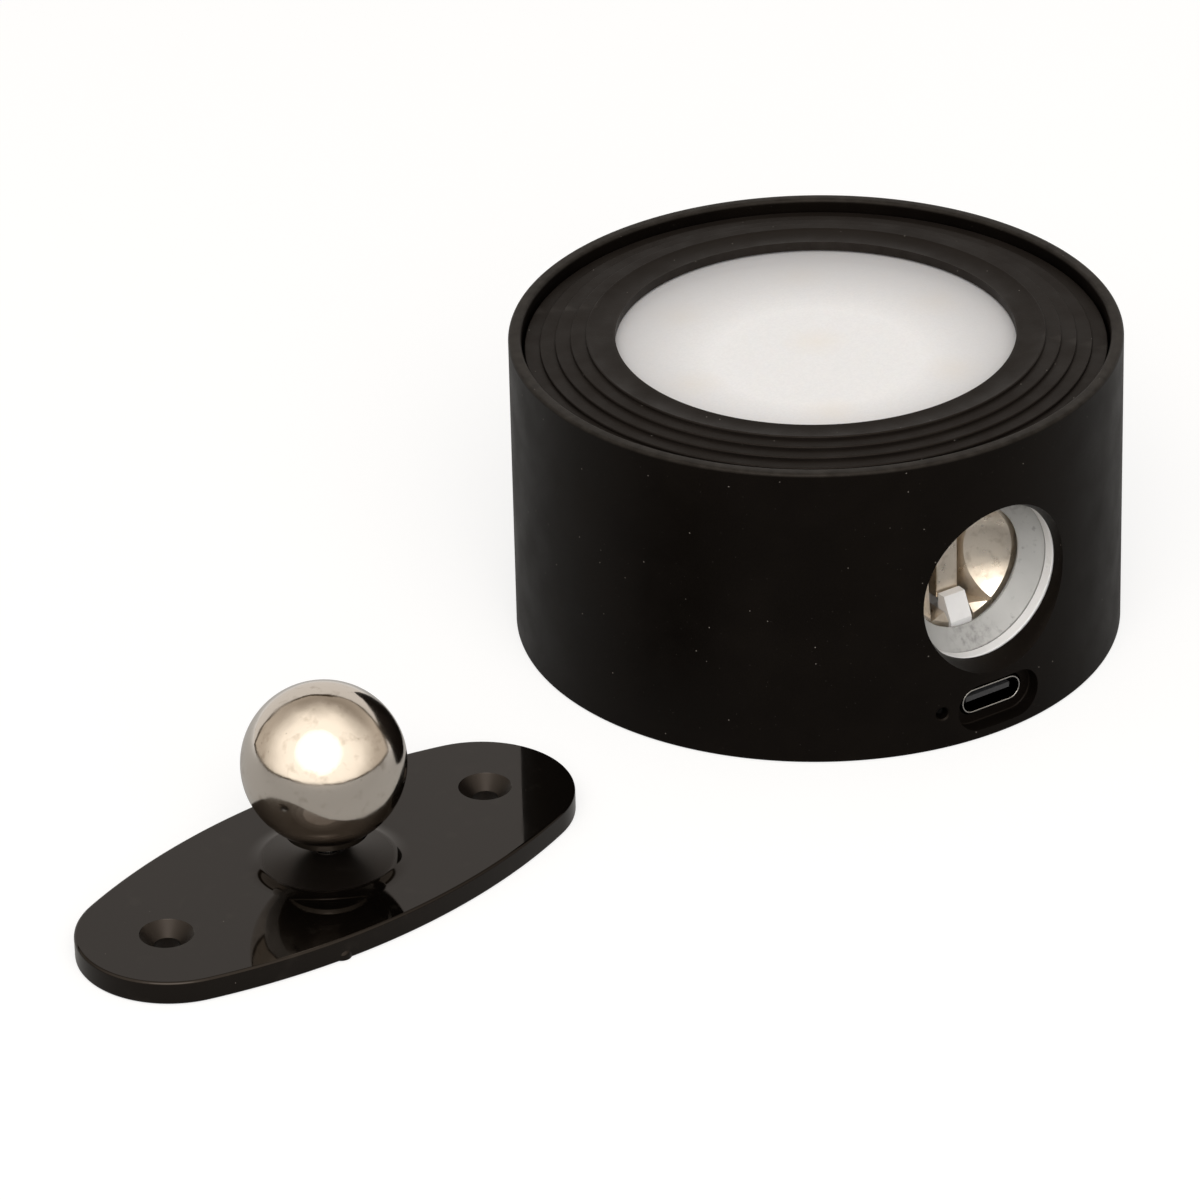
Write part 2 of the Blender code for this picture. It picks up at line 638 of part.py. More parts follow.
def make_pole_shoe(name, side):
    """Half a disc beside the magnet, hollowed by the ball."""
    radius = HOLDER_RADIUS - HOLDER_WALL - GAP
    shoe = rod(
        f"pole_shoe_{name}", radius, SHOE_BACK, SHOE_FRONT, RING_STEPS, NICKEL, parent=SOCKET
    )
    wall = MAGNET_WIDTH / 2 + GAP
    far = -side * (radius + OVERRUN)
    start = DOCKED_REACH - BALL_RADIUS - DISH_SLACK - SHOE_BEVEL_DEPTH
    end = SHOE_FRONT + OVERRUN
    spread = (end - start) * SHOE_BEVEL_WIDTH / SHOE_BEVEL_DEPTH
    outline = [
        (far, SHOE_BACK - OVERRUN),
        (side * wall, SHOE_BACK - OVERRUN),
        (side * wall, start),
        (side * (wall + spread), end),
        (far, end),
    ]
    span = radius + OVERRUN
    cut(shoe, slab(
        f"shoe_channel_{name}", outline, -span, span, None, parent=SOCKET,
        turn=(OUTWARDS, 0, 0),
    ))
    dish = ball_shape(
        f"shoe_dish_{name}", BALL_RADIUS + DISH_SLACK, DISH_STEPS, None, parent=SOCKET,
        place=(0, 0, DOCKED_REACH),
    )
    cut(shoe, dish)


def flange_outline():
    """A disc with an ear on either side."""
    meet = math.asin((EAR_RADIUS + EAR_FLARE) / RING_RADIUS)
    ear = EAR_CENTRE
    half = math.pi / 2
    return [
        *arc(ear, 0, EAR_RADIUS, -half, half, EAR_STEPS),
        *arc(0, 0, RING_RADIUS, meet, math.pi - meet, RING_STEPS // 2),
        *arc(-ear, 0, EAR_RADIUS, half, math.pi + half, EAR_STEPS),
        *arc(0, 0, RING_RADIUS, math.pi + meet, math.tau - meet, RING_STEPS // 2),
    ]


def make_magnet_holder():
    inner = HOLDER_RADIUS - HOLDER_WALL
    holder = slab(
        "magnet_holder", flange_outline(), FLANGE_BACK, FLANGE_FRONT, WHITE_PLASTIC,
        parent=SOCKET,
    )
    cup_front = FLANGE_FRONT - HOLDER_FLANGE / 2
    cup = rod(
        "holder_cup", HOLDER_RADIUS, HOLDER_BACK, cup_front, RING_STEPS, None, parent=SOCKET
    )
    join(holder, cup)
    well = rod(
        "holder_well", inner, HOLDER_BACK + HOLDER_FLOOR, FLANGE_FRONT + OVERRUN,
        RING_STEPS, None, parent=SOCKET,
    )
    cut(holder, well)
    for side in (-1, 1):
        place = (side * EAR_CENTRE, 0, FLANGE_BACK - GAP)
        screw_hole(holder, f"holder_hole_{side}", place, (math.pi, 0, 0), SOCKET)
    make_magnet_tabs(holder, inner)


def make_magnet_tabs(holder, inner):
    """Two tabs that stand on the cup's wall and reach over the magnet's ends."""
    back = MAGNET_FRONT + GAP
    end = MAGNET_LENGTH / 2 - TAB_HOLD
    front = back + TAB_LEDGE + TAB_SLOPE_DEPTH
    for name, turn in (("upper", 0), ("lower", math.pi)):
        outline = [
            (end, back),
            (inner + ROOT, back),
            (inner + ROOT, front),
            (end + TAB_SLOPE_DROP, front),
            (end, back + TAB_LEDGE),
        ]
        half = MAGNET_WIDTH / 2
        turns = (OUTWARDS, 0, OUTWARDS + turn)
        tab = slab(f"{name}_tab", outline, -half, half, None, parent=SOCKET, turn=turns)
        join(holder, tab)


def ball_shape(name, radius, steps, spec, **placing):
    half_turn = arc(0, 0, radius, math.pi / 2, -math.pi / 2, steps // 2)
    half_turn[0], half_turn[-1] = (0, radius), (0, -radius)
    return turned(name, half_turn, steps, spec, **placing)


def make_port():
    front = PORT_FACE_REACH
    back = front - PORT_LENGTH
    shell = slab(
        "usb_shell", obround(PORT_WIDTH, PORT_THICKNESS), back, front, STEEL, parent=PORT
    )
    inner_width = PORT_WIDTH - 2 * PORT_WALL
    inner_thickness = PORT_THICKNESS - 2 * PORT_WALL
    bore = obround(inner_width, inner_thickness)
    cut(shell, slab(
        "usb_bore", bore, back - OVERRUN, front + OVERRUN, None, parent=PORT
    ))
    plug = obround(inner_width - 2 * PORT_SLACK, inner_thickness - 2 * PORT_SLACK)
    tongue = slab(
        "usb_tongue", plug, back, back + PORT_BLOCK_LENGTH, DARK_LEAD, parent=PORT
    )
    blade = block(
        "usb_blade",
        (-TONGUE_WIDTH / 2, -TONGUE_THICKNESS / 2, back + ROOT),
        (TONGUE_WIDTH / 2, TONGUE_THICKNESS / 2, front - TONGUE_SETBACK),
        None, parent=PORT,
    )
    join(tongue, blade)

    outer = LAMP_RADIUS - PIPE_SETBACK
    rod(
        "indicator_pipe", PIPE_RADIUS, outer - PIPE_LENGTH, outer, SMALL_STEPS, SMOKED_LENS,
        parent=INDICATOR,
    )
    half = INDICATOR_LED_SIDE / 2
    led_front = outer - PIPE_LENGTH - GAP
    block(
        "indicator_led", (-half, -half, led_front - INDICATOR_LED_SIDE),
        (half, BOARD_BOTTOM - GAP - INDICATOR_HEIGHT, led_front), LED_YELLOW,
        parent=INDICATOR,
    )


def make_control_board():
    board = rod(
        "control_board", BOARD_RADIUS, BOARD_BOTTOM, BOARD_TOP, DRUM_STEPS, BOARD_GREEN
    )
    spare = BOARD_RADIUS + OVERRUN
    low = (-spare, -BOARD_BACK_EDGE, BOARD_BOTTOM - OVERRUN)
    high = (spare, spare, BOARD_TOP + OVERRUN)
    cut(board, block("board_trim", low, high, None))
    for i, (x, y) in enumerate(BOARD_POSTS):
        head = (x, y, BOARD_TOP + GAP)
        screw_hole(board, f"board_hole_{i}", head)
        screw(f"board_screw_{i + 1}", head)

    half = CHIP_SIDE / 2
    low = (-CHIP_SPREAD - half, -CHIP_SETBACK - half, BOARD_TOP + GAP)
    high = (-CHIP_SPREAD + half, -CHIP_SETBACK + half, BOARD_TOP + GAP + CHIP_HEIGHT)
    block("control_chip", low, high, DARK_LEAD)
    for name, side in (("battery_plug", -1), ("light_plug", 1)):
        x = side * PLUG_SPREAD
        low = (x - PLUG_WIDTH / 2, -PLUG_SETBACK - PLUG_DEPTH, BOARD_TOP + GAP)
        high = (x + PLUG_WIDTH / 2, -PLUG_SETBACK, BOARD_TOP + GAP + PLUG_HEIGHT)
        block(name, low, high, WHITE_PLASTIC)


def make_touch_sensor():
    turn = math.radians(TOUCH_DEG)
    place = (TOUCH_REACH * math.sin(turn), -TOUCH_REACH * math.cos(turn), 0)
    pad_top = FLOOR_SEAT + FOIL
    rod("touch_pad", TOUCH_PAD_RADIUS, FLOOR_SEAT, pad_top, RING_STEPS, COPPER, place=place)
    bottom = pad_top + GAP + SPRING_WIRE
    top = BOARD_BOTTOM - GAP - SPRING_WIRE
    count = SPRING_TURNS * SPRING_POINTS
    route = []
    for i in range(count + 1):
        turn = math.tau * i / SPRING_POINTS
        height = bottom + (top - bottom) * i / count
        route.append((SPRING_RADIUS * math.cos(turn), SPRING_RADIUS * math.sin(turn), height))
    wire("touch_spring", route, SPRING_WIRE, COPPER, place=place)


def make_battery():
    cell = [
        (0, CELL_HALF_LENGTH),
        (CELL_RADIUS - CELL_ROUND, CELL_HALF_LENGTH),
        (CELL_RADIUS, CELL_HALF_LENGTH - CELL_ROUND),
        (CELL_RADIUS, -CELL_HALF_LENGTH + CELL_ROUND),
        (CELL_RADIUS - CELL_ROUND, -CELL_HALF_LENGTH),
        (0, -CELL_HALF_LENGTH),
    ]
    turned("battery_cell", cell, CELL_STEPS, CELL_BLUE, parent=CELL_AXIS)
    for name, side in (("positive_tab", 1), ("negative_tab", -1)):
        near = CELL_HALF_LENGTH + GAP
        ends = sorted((side * near, side * (near + CELL_TAB_THICKNESS)))
        low = (ends[0], CELL_BACK - CELL_TAB_WIDTH / 2, CELL_HEIGHT - CELL_TAB_HEIGHT / 2)
        high = (ends[1], CELL_BACK + CELL_TAB_WIDTH / 2, CELL_HEIGHT + CELL_TAB_HEIGHT / 2)
        block(name, low, high, NICKEL)

    half_length, half_width = CELL_HALF_LENGTH - CRADLE_INSET, CRADLE_WIDTH / 2
    low = (-half_length, CELL_BACK - half_width, CRADLE_BOTTOM)
    high = (half_length, CELL_BACK + half_width, CRADLE_TOP)
    cradle = block("battery_cradle", low, high, DARK_PLASTIC)
    for side in (-1, 1):
        across = sorted((side * half_length, side * (half_length - SADDLE_WIDTH)))
        saddle = block(
            f"cradle_saddle_{side}", (across[0], low[1], CRADLE_TOP - ROOT),
            (across[1], high[1], CRADLE_TOP + SADDLE_HEIGHT), None,
        )
        join(cradle, saddle)
    room = CELL_RADIUS + GAP
    span = half_length + OVERRUN
    cut(cradle, rod("cradle_bed", room, -span, span, CELL_STEPS, None, parent=CELL_AXIS))
    low = (-half_length + FOAM_INSET, CELL_BACK - half_width + FOAM_INSET, FLOOR_SEAT)
    high = (
        half_length - FOAM_INSET,
        CELL_BACK + half_width - FOAM_INSET,
        FLOOR_SEAT + FOAM_THICKNESS,
    )
    block("foam_pad", low, high, GREY_FOAM)


def make_bezel():
    step = BEZEL_DROP / RING_COUNT
    profile = [(LIP_RADIUS, LAMP_HEIGHT - LIP_DROP)]
    for i in range(1, COVE_STEPS):
        share = i / COVE_STEPS
        radius = LIP_RADIUS + (CREST_RADIUS - LIP_RADIUS) * share
        height = LAMP_HEIGHT - LIP_DROP * (1 - share) - COVE_DEPTH * math.sin(math.pi * share)
        profile.append((radius, height))
    for i in range(RING_COUNT):
        radius = CREST_RADIUS + i * RING_PITCH
        height = LAMP_HEIGHT - i * step
        profile.append((radius - RISER_ROUND, height))
        profile.append((radius, height - RISER_ROUND))
        profile.append((radius, height - step))
    profile += [
        (BEZEL_RADIUS - RISER_ROUND, BEZEL_EDGE),
        (BEZEL_RADIUS, BEZEL_EDGE - RISER_ROUND),
        (BEZEL_RADIUS, BEZEL_EDGE - SKIRT_HEIGHT),
        (BEZEL_RADIUS - SKIRT_WALL, BEZEL_EDGE - SKIRT_HEIGHT),
        (BEZEL_RADIUS - SKIRT_WALL, BEZEL_UNDERSIDE),
        (DIFFUSER_RADIUS + GAP, BEZEL_UNDERSIDE),
        (DIFFUSER_RADIUS + GAP, DIFFUSER_TOP + GAP),
        (LIP_RADIUS, DIFFUSER_TOP + GAP),
    ]
    bezel = turned("bezel", profile, DRUM_STEPS, BEZEL_PLASTIC, closed=True)

    groove = LAMP_HEIGHT - SNAP_GROOVE_DROP
    inner = BEZEL_RADIUS - SKIRT_WALL / 2
    outer = HOUSING_INNER + SNAP_GROOVE_DEPTH - GAP
    for i, (x, y) in enumerate(around(1, HOOK_COUNT)):
        low = (inner, -HOOK_WIDTH / 2, groove - HOOK_HEIGHT / 2)
        high = (outer, HOOK_WIDTH / 2, groove + HOOK_HEIGHT / 2)
        turn = (0, 0, math.atan2(y, x))
        join(bezel, block(f"bezel_hook_{i}", low, high, None, turn=turn))
    for i, (x, y) in enumerate(HEAD_POSTS):
        post = rod(
            f"bezel_post_{i}", HEAD_POST_RADIUS, CARRIER_TOP + GAP, BEZEL_UNDERSIDE + ROOT,
            SMALL_STEPS, None, place=(x, y, 0),
        )
        join(bezel, post)
    for i, (x, y) in enumerate(HEAD_POSTS):
        head = (x, y, CARRIER_BOTTOM - GAP)
        screw_hole(bezel, f"bezel_hole_{i}", head, (math.pi, 0, 0))
        screw(f"bezel_screw_{i + 1}", head, (math.pi, 0, 0))


def make_light_engine():
    rod(
        "diffuser", DIFFUSER_RADIUS, DIFFUSER_BOTTOM, DIFFUSER_TOP, DRUM_STEPS, OPAL
    )
    mouth = REFLECTOR_RADIUS - REFLECTOR_WALL
    reflector = [
        (REFLECTOR_RADIUS, REFLECTOR_TOP),
        (REFLECTOR_RADIUS, REFLECTOR_BOTTOM),
        (mouth - REFLECTOR_SLOPE, REFLECTOR_BOTTOM),
        (mouth, REFLECTOR_TOP),
    ]
    turned("reflector", reflector, DRUM_STEPS, WHITE_PLASTIC, closed=True)

    board = rod(
        "led_board", REFLECTOR_RADIUS, LED_BOARD_HEIGHT, LED_BOARD_TOP, DRUM_STEPS, ALUMINIUM
    )
    half = LED_SIDE / 2
    for i, (x, y) in enumerate([(0, 0), *around(LED_CIRCLE, LED_COUNT, LED_FIRST_DEG)]):
        low = (x - half, y - half, LED_BOARD_TOP + GAP)
        high = (x + half, y + half, LED_BOARD_TOP + GAP + LED_HEIGHT)
        block(f"led_{i + 1}", low, high, LED_YELLOW)

    carrier = rod(
        "light_carrier", CARRIER_RADIUS, CARRIER_BOTTOM, CARRIER_TOP, DRUM_STEPS, ALUMINIUM
    )
    half_notch = RING_RADIUS + NOTCH_SIDE_ROOM
    low = (-half_notch, -CARRIER_RADIUS - OVERRUN, CARRIER_BOTTOM - OVERRUN)
    high = (half_notch, NOTCH_BACK_ROOM - HOLDER_BACK, CARRIER_TOP + OVERRUN)
    cut(carrier, block("carrier_notch", low, high, None))
    for i, (x, y) in enumerate(HEAD_POSTS):
        place = (x, y, CARRIER_BOTTOM - GAP)
        screw_hole(carrier, f"carrier_hole_{i}", place, (math.pi, 0, 0))
    lead_hole = rod(
        "lead_hole", LEAD_HOLE_RADIUS, CARRIER_BOTTOM - OVERRUN, LED_BOARD_TOP - ROOT,
        SMALL_STEPS, None, place=(PLUG_SPREAD, -LEAD_HOLE_SETBACK, 0),
    )
    cut(carrier, lead_hole)
    for name, side in (("left", -1), ("right", 1)):
        place = (side * LED_CIRCLE * BOARD_SCREW_SHARE, 0, LED_BOARD_TOP + GAP)
        screw_hole(board, f"led_board_hole_{name}", place)
        screw_hole(carrier, f"carrier_board_hole_{name}", place)
        screw(f"led_board_screw_{name}", place)


def make_leads():
    plug_top = BOARD_TOP + GAP + PLUG_HEIGHT + GAP
    plug_y = -PLUG_SETBACK - PLUG_DEPTH / 2
    step = LEAD_RADIUS + GAP
    lane = CELL_HALF_LENGTH + GAP + CELL_TAB_THICKNESS + GAP + LEAD_RADIUS
    cell_front = CELL_RADIUS - CELL_BACK
    for name, side, colour in (
        ("positive_lead", 1, RED_LEAD),
        ("negative_lead", -1, DARK_LEAD),
    ):
        x = -PLUG_SPREAD + side * step
        bend = (side * LEAD_BEND_SPREAD, -LEAD_BEND_SETBACK, CELL_HEIGHT)
        across = (0, -cell_front - LEAD_BEND_ROOM, CELL_HEIGHT + LEAD_BEND_ROOM / 2)
        route = [
            (x, plug_y, plug_top),
            (x, plug_y, plug_top + LEAD_RISE),
            *([across] if side > 0 else []),
            bend,
            (side * lane, -cell_front - LEAD_RISE, CELL_HEIGHT),
            (side * lane, CELL_BACK, CELL_HEIGHT),
        ]
        wire(name, smooth_route(route), LEAD_RADIUS, colour)
    for name, side, colour in (
        ("light_lead_positive", 1, RED_LEAD),
        ("light_lead_negative", -1, DARK_LEAD),
    ):
        x = PLUG_SPREAD + side * step
        start = (x, plug_y, plug_top)
        over = (x, plug_y, plug_top + LEAD_RISE)
        under = (x, -LEAD_HOLE_SETBACK, CARRIER_BOTTOM - LEAD_RISE)
        end = (x, -LEAD_HOLE_SETBACK, LED_BOARD_HEIGHT - GAP)
        wire(name, smooth_route([start, over, under, end]), LEAD_RADIUS, colour)


def plate_side_centre():
    """How far the centre of a side arc is from the plate's middle."""
    swing = PLATE_SIDE_RADIUS - PLATE_END_RADIUS
    return math.sqrt(swing**2 - PLATE_END_OFFSET**2)


def plate_outline():
    """Two flat side arcs that run into two round ends."""
    back = plate_side_centre()
    lean = math.atan2(PLATE_END_OFFSET, back)
    right_angle = math.pi / 2
    near, far = right_angle - lean, right_angle + lean
    sides = (0, -back, PLATE_SIDE_RADIUS, near, far, OUTLINE_STEPS)
    left = (-PLATE_END_OFFSET, 0, PLATE_END_RADIUS, far, math.tau - far, OUTLINE_STEPS)
    lower = (0, back, PLATE_SIDE_RADIUS, math.pi + near, math.pi + far, OUTLINE_STEPS)
    right = (PLATE_END_OFFSET, 0, PLATE_END_RADIUS, -near, near, OUTLINE_STEPS)
    return [point for piece in (sides, left, lower, right) for point in arc(*piece)[:-1]]


def make_bracket():
    plate = slab(
        "bracket_plate", plate_outline(), 0, PLATE_THICKNESS, GLOSSY_BLACK, parent=BRACKET
    )
    rounding = plate.modifiers.new("Edge", "BEVEL")
    rounding.width = PLATE_ROUND
    rounding.segments = 2
    rounding.limit_method = "ANGLE"
    rounding.angle_limit = math.radians(EDGE_ANGLE_DEG)

    slope = []
    for i in range(BOSS_STEPS + 1):
        share = i / BOSS_STEPS
        radius = BOSS_TOP_RADIUS + (BOSS_BASE_RADIUS - BOSS_TOP_RADIUS) * share
        slope.append((radius, PLATE_THICKNESS + BOSS_HEIGHT * (1 - share) ** BOSS_CURVE))
    foot = PLATE_THICKNESS - ROOT
    slope[-1] = (BOSS_BASE_RADIUS, PLATE_THICKNESS - BOSS_TUCK)
    boss = [(0, BOSS_TOP), *slope, (BOSS_BASE_RADIUS, foot), (0, foot)]
    join(plate, turned("bracket_boss", boss, RING_STEPS, None, parent=BRACKET))

    edge = plate_side_centre() - math.sqrt(PLATE_SIDE_RADIUS**2 - GATE_SIDE**2)
    gate = rod(
        "plate_gate", GATE_RADIUS, PLATE_ROUND, GATE_HEIGHT, SMALL_STEPS, None,
        parent=BRACKET, place=(-GATE_SIDE, edge + GATE_INSET, 0),
    )
    join(plate, gate)

    for name, side in (("left", -1), ("right", 1)):
        top = PLATE_THICKNESS + OVERRUN
        sunk = PLATE_THICKNESS - PLATE_SINK_DEPTH
        spread = (PLATE_SINK_RADIUS - PLATE_HOLE_RADIUS) * (1 + OVERRUN / PLATE_SINK_DEPTH)
        hole = [
            (0, top),
            (PLATE_HOLE_RADIUS + spread, top),
            (PLATE_HOLE_RADIUS, sunk),
            (PLATE_HOLE_RADIUS, -OVERRUN),
            (0, -OVERRUN),
        ]
        place = (side * PLATE_HOLE_SPACING / 2, 0, 0)
        tool = turned(
            f"plate_hole_{name}", hole, HOLE_STEPS, None, parent=BRACKET, place=place
        )
        cut(plate, tool)

    collar_bottom = BALL_HEIGHT - BALL_RADIUS + COLLAR_LIFT
    collar_top = BALL_HEIGHT - math.sqrt(BALL_RADIUS**2 - COLLAR_RADIUS**2) + ROOT
    clear = STUD_RADIUS + SCREW_SLACK
    widen = (STUD_HEAD_RADIUS + SCREW_SLACK - clear) / STUD_HEAD_DEPTH
    bore = [
        (0, BOSS_TOP + OVERRUN),
        (clear, BOSS_TOP + OVERRUN),
        (clear, GAP + STUD_HEAD_DEPTH + SCREW_SLACK),
        (clear + widen * (GAP + STUD_HEAD_DEPTH + SCREW_SLACK + OVERRUN), -OVERRUN),
        (0, -OVERRUN),
    ]
    cut(plate, turned("stud_bore", bore, HOLE_STEPS, None, parent=BRACKET))

    place = (0, 0, BALL_HEIGHT)
    ball = ball_shape("ball", BALL_RADIUS, BALL_STEPS, NICKEL, parent=BRACKET, place=place)
    collar = rod(
        "ball_collar", COLLAR_RADIUS, collar_bottom, collar_top, BALL_STEPS, None,
        parent=BRACKET,
    )
    join(ball, collar)
    tip = collar_bottom + STUD_GRIP
    cut(ball, rod(
        "ball_bore", clear, -OVERRUN, tip + GAP, HOLE_STEPS, None, parent=BRACKET
    ))
    stud = [
        (0, tip),
        (STUD_RADIUS, tip),
        (STUD_RADIUS, GAP + STUD_HEAD_DEPTH),
        (STUD_HEAD_RADIUS, GAP),
        (0, GAP),
    ]
    turned("ball_screw", stud, HOLE_STEPS, STEEL, parent=BRACKET)


def finish_shapes():
    """Applies the modifiers and shades the round faces smooth."""
    bpy.context.view_layer.update()
    graph = bpy.context.evaluated_depsgraph_get()
    shaped = {}
    for obj in PARTS.objects:
        if obj.type == "MESH":
            shaped[obj] = bpy.data.meshes.new_from_object(obj.evaluated_get(graph))
    for obj, mesh in shaped.items():
        obj.modifiers.clear()
        obj.data = mesh
        mesh.name = obj.name
        mesh.shade_smooth()
        mesh.set_sharp_from_angle(angle=math.radians(SHARP_ANGLE_DEG))


clear_scene()
PARTS = new_collection("magnetic_wall_light", hidden=False)
CUTTERS = new_collection("cutters", hidden=True)

SOCKET = add_axis("socket_axis", (0, 0, SOCKET_HEIGHT), (OUTWARDS, 0, 0))
PORT = add_axis("port_axis", (0, 0, PORT_HEIGHT), (OUTWARDS, 0, 0))
INDICATOR = add_axis(
    "indicator_axis",
    (0, 0, INDICATOR_HEIGHT),
    (OUTWARDS, 0, -math.radians(INDICATOR_ANGLE_DEG)),
)
CELL_AXIS = add_axis("cell_axis", (0, CELL_BACK, CELL_HEIGHT), (0, OUTWARDS, 0))
BRACKET = add_axis(
    "bracket_axis", (BRACKET_X, BRACKET_Y, 0), (0, 0, math.radians(BRACKET_TURN_DEG))
)
BOARD_POSTS = (
    *around(BOARD_POST_REACH, 1, BOARD_POST_DEG - 180),
    *around(BOARD_POST_REACH, 1, -BOARD_POST_DEG),
    (0, -BOARD_BACK_EDGE - REAR_POST_INSET),
)
HEAD_POSTS = around(HEAD_POST_CIRCLE, HEAD_POST_COUNT, HEAD_POST_FIRST_DEG)

make_housing()
make_socket()
make_port()
make_control_board()
make_touch_sensor()
make_battery()
make_bezel()
make_light_engine()
make_leads()
make_bracket()
finish_shapes()
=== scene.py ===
"""Looks of the magnetic wall light: a matte black rechargeable lamp with a ball socket in its side, and
the glossy black bracket with its polished ball.

Metres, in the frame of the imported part: the lamp's axis is Z and its socket faces -Y.
"""

import math

import bmesh
import bpy
from mathutils import Matrix, Vector


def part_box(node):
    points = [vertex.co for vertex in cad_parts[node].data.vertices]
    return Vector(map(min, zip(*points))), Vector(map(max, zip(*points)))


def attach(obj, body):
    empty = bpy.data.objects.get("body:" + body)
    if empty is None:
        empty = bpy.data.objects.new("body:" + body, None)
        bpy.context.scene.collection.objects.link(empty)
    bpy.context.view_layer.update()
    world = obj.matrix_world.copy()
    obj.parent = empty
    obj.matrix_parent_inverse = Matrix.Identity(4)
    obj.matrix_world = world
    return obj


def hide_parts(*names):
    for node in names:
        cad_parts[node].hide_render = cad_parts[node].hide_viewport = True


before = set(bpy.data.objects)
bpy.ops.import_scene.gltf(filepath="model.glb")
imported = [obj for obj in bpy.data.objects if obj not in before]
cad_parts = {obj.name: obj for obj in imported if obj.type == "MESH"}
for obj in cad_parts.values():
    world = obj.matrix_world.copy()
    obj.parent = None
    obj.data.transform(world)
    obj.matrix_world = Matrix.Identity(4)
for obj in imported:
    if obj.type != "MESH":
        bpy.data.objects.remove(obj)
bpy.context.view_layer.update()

# Camera, as the photograph has it
CAMERA_PLACE = (-0.48655, -0.67682, 0.46640)
CAMERA_HEADING_DEG = -33.8
CAMERA_TILT_DEG = 29.12
CAMERA_ROLL_DEG = -1.43
SENSOR_WIDTH_MM = 36
LENS_MM = 224.31
CLIP_START = 0.01

# Studio
FLOOR_SIZE = 3.0
FLOOR_DROP = 0.0001
FLOOR_GLOW = 0.715
FLOOR_GLOSS_NEAR = 0.03
FLOOR_GLOSS_FAR = 0.50
FLOOR_NEAR = -0.10
FLOOR_FAR = 0.30
FLOOR_COLOUR = (0.36, 0.35, 0.335)
SOFTBOX_DISTANCE = 1.5
SOFTBOX_STEPS = ((1.05, 0.95, 8.0), (1.45, 1.35, 4.6), (1.85, 1.75, 3.2))
SOFTBOX_COLOUR = (1.0, 0.985, 0.965)
SOFTBOX_HEADING_DEG = -42.0
SOFTBOX_RISE_DEG = 44.0
FILL_DISTANCE = 1.8
FILL_SIZE = 1.6
FILL_WATTS = 12.0
FILL_HEADING_DEG = -18.0
FILL_RISE_DEG = 32.0
STUDIO_COLOUR = (0.40, 0.395, 0.39)
BACKDROP_COLOUR = (0.72, 0.68, 0.64)
ROOM_COLOUR = (0.56, 0.49, 0.41)
CEILING_COLOUR = (0.27, 0.225, 0.18)
GLOW_COLOUR = (1.40, 1.29, 1.14)
SEAM_COLOUR = (0.05, 0.035, 0.02)
BACKDROP_LEAN = (0.10, 0.86, -0.51)
BACKDROP_EDGE = 0.34
SEAM_WIDTH = 0.026
SEAM_WAVE = 0.16
HORIZON_LOW = 0.02
HORIZON_HIGH = 0.05
ROOM_TOP = 0.95
ROOM_FOOT = 0.35
GLOW_EDGE = 0.05
GLOW_CORE = 0.78
MOTTLE_SCALE = 2.2
MOTTLE_SHARE = 0.35

# Fits
GAP = 0.0003
OVERRUN = 0.002
ROOT = 0.0006
WELD = 0.000001

# Housing
HOUSING_WALL = 0.00165
HOUSING_FLOOR = 0.0018
RIM_ROUND = 0.00045
BASE_ROUND = 0.00035
ROUND_MARGIN = 0.0003
SIDE_MARGIN = 0.000008
SNAP_GROOVE_DEPTH = 0.0005
SNAP_GROOVE_HEIGHT = 0.0014
SNAP_GROOVE_DROP = 0.0045
HOLE_SLACK = 0.0005
HOLE_FLARE = 0.0008
HOLE_FLARE_DEPTH = 0.0020
HOLE_EDGE_ROUND = 0.0002
SOCKET_PAD_WALL = 0.0012
SOCKET_PAD_SETBACK = 0.0045
PORT_PAD_SETBACK = 0.0039
PORT_POCKET_WIDTH = 0.0123
PORT_POCKET_HEIGHT = 0.0064
PORT_PAD_WIDTH = 0.0160
INDICATOR_TURN_DEG = 12.4
INDICATOR_HOLE_RADIUS = 0.0008
POST_RADIUS = 0.0025
EAR_POST_RADIUS = 0.0022

# Socket
BALL_RADIUS = 0.010
RING_WALL = 0.0010
RING_LIP = 0.0014
RING_ROUND = 0.00015
GRIP_SETBACK = 0.0004
GRIP_WALL = 0.0008
GRIP_EDGE = 0.00035
GRIP_THROAT = 0.00815
DARK_PATCH_RADIUS = 0.0045
GRIP_DARK_PATCH_PLACE = (0.0068, -0.0330, 0.0272)
DOCKED_SETBACK = 0.00145
DISH_SLACK = 0.0003
SHOE_BEVEL_DEPTH = 0.0010
SHOE_BEVEL_WIDTH = 0.0006
SHOE_BEVEL_SPAN = 0.0066
MAGNET_ROUND = 0.00015

# Port
PORT_WALL = 0.0002
PORT_ROUND = 0.00006
PORT_SHADE_DEPTH = 0.00024

# Light head
BEZEL_GAP = 0.00035
BEZEL_DROP = 0.0016
BEZEL_WIDTH = 0.0114
RING_PITCH = 0.00193
RING_COUNT = 4
LIP_DROP = 0.00025
COVE_DEPTH = 0.0002
RISER_ROUND = 0.00016
BEZEL_THICKNESS = 0.0013
SKIRT_WALL = 0.0012
SKIRT_HEIGHT = 0.0040
DIFFUSER_ROUND = 0.00025
LED_GLOW_RADIUS = 0.0045
SHADE_START = 0.013
SHADE_CENTRE = (-0.0022, -0.0033)

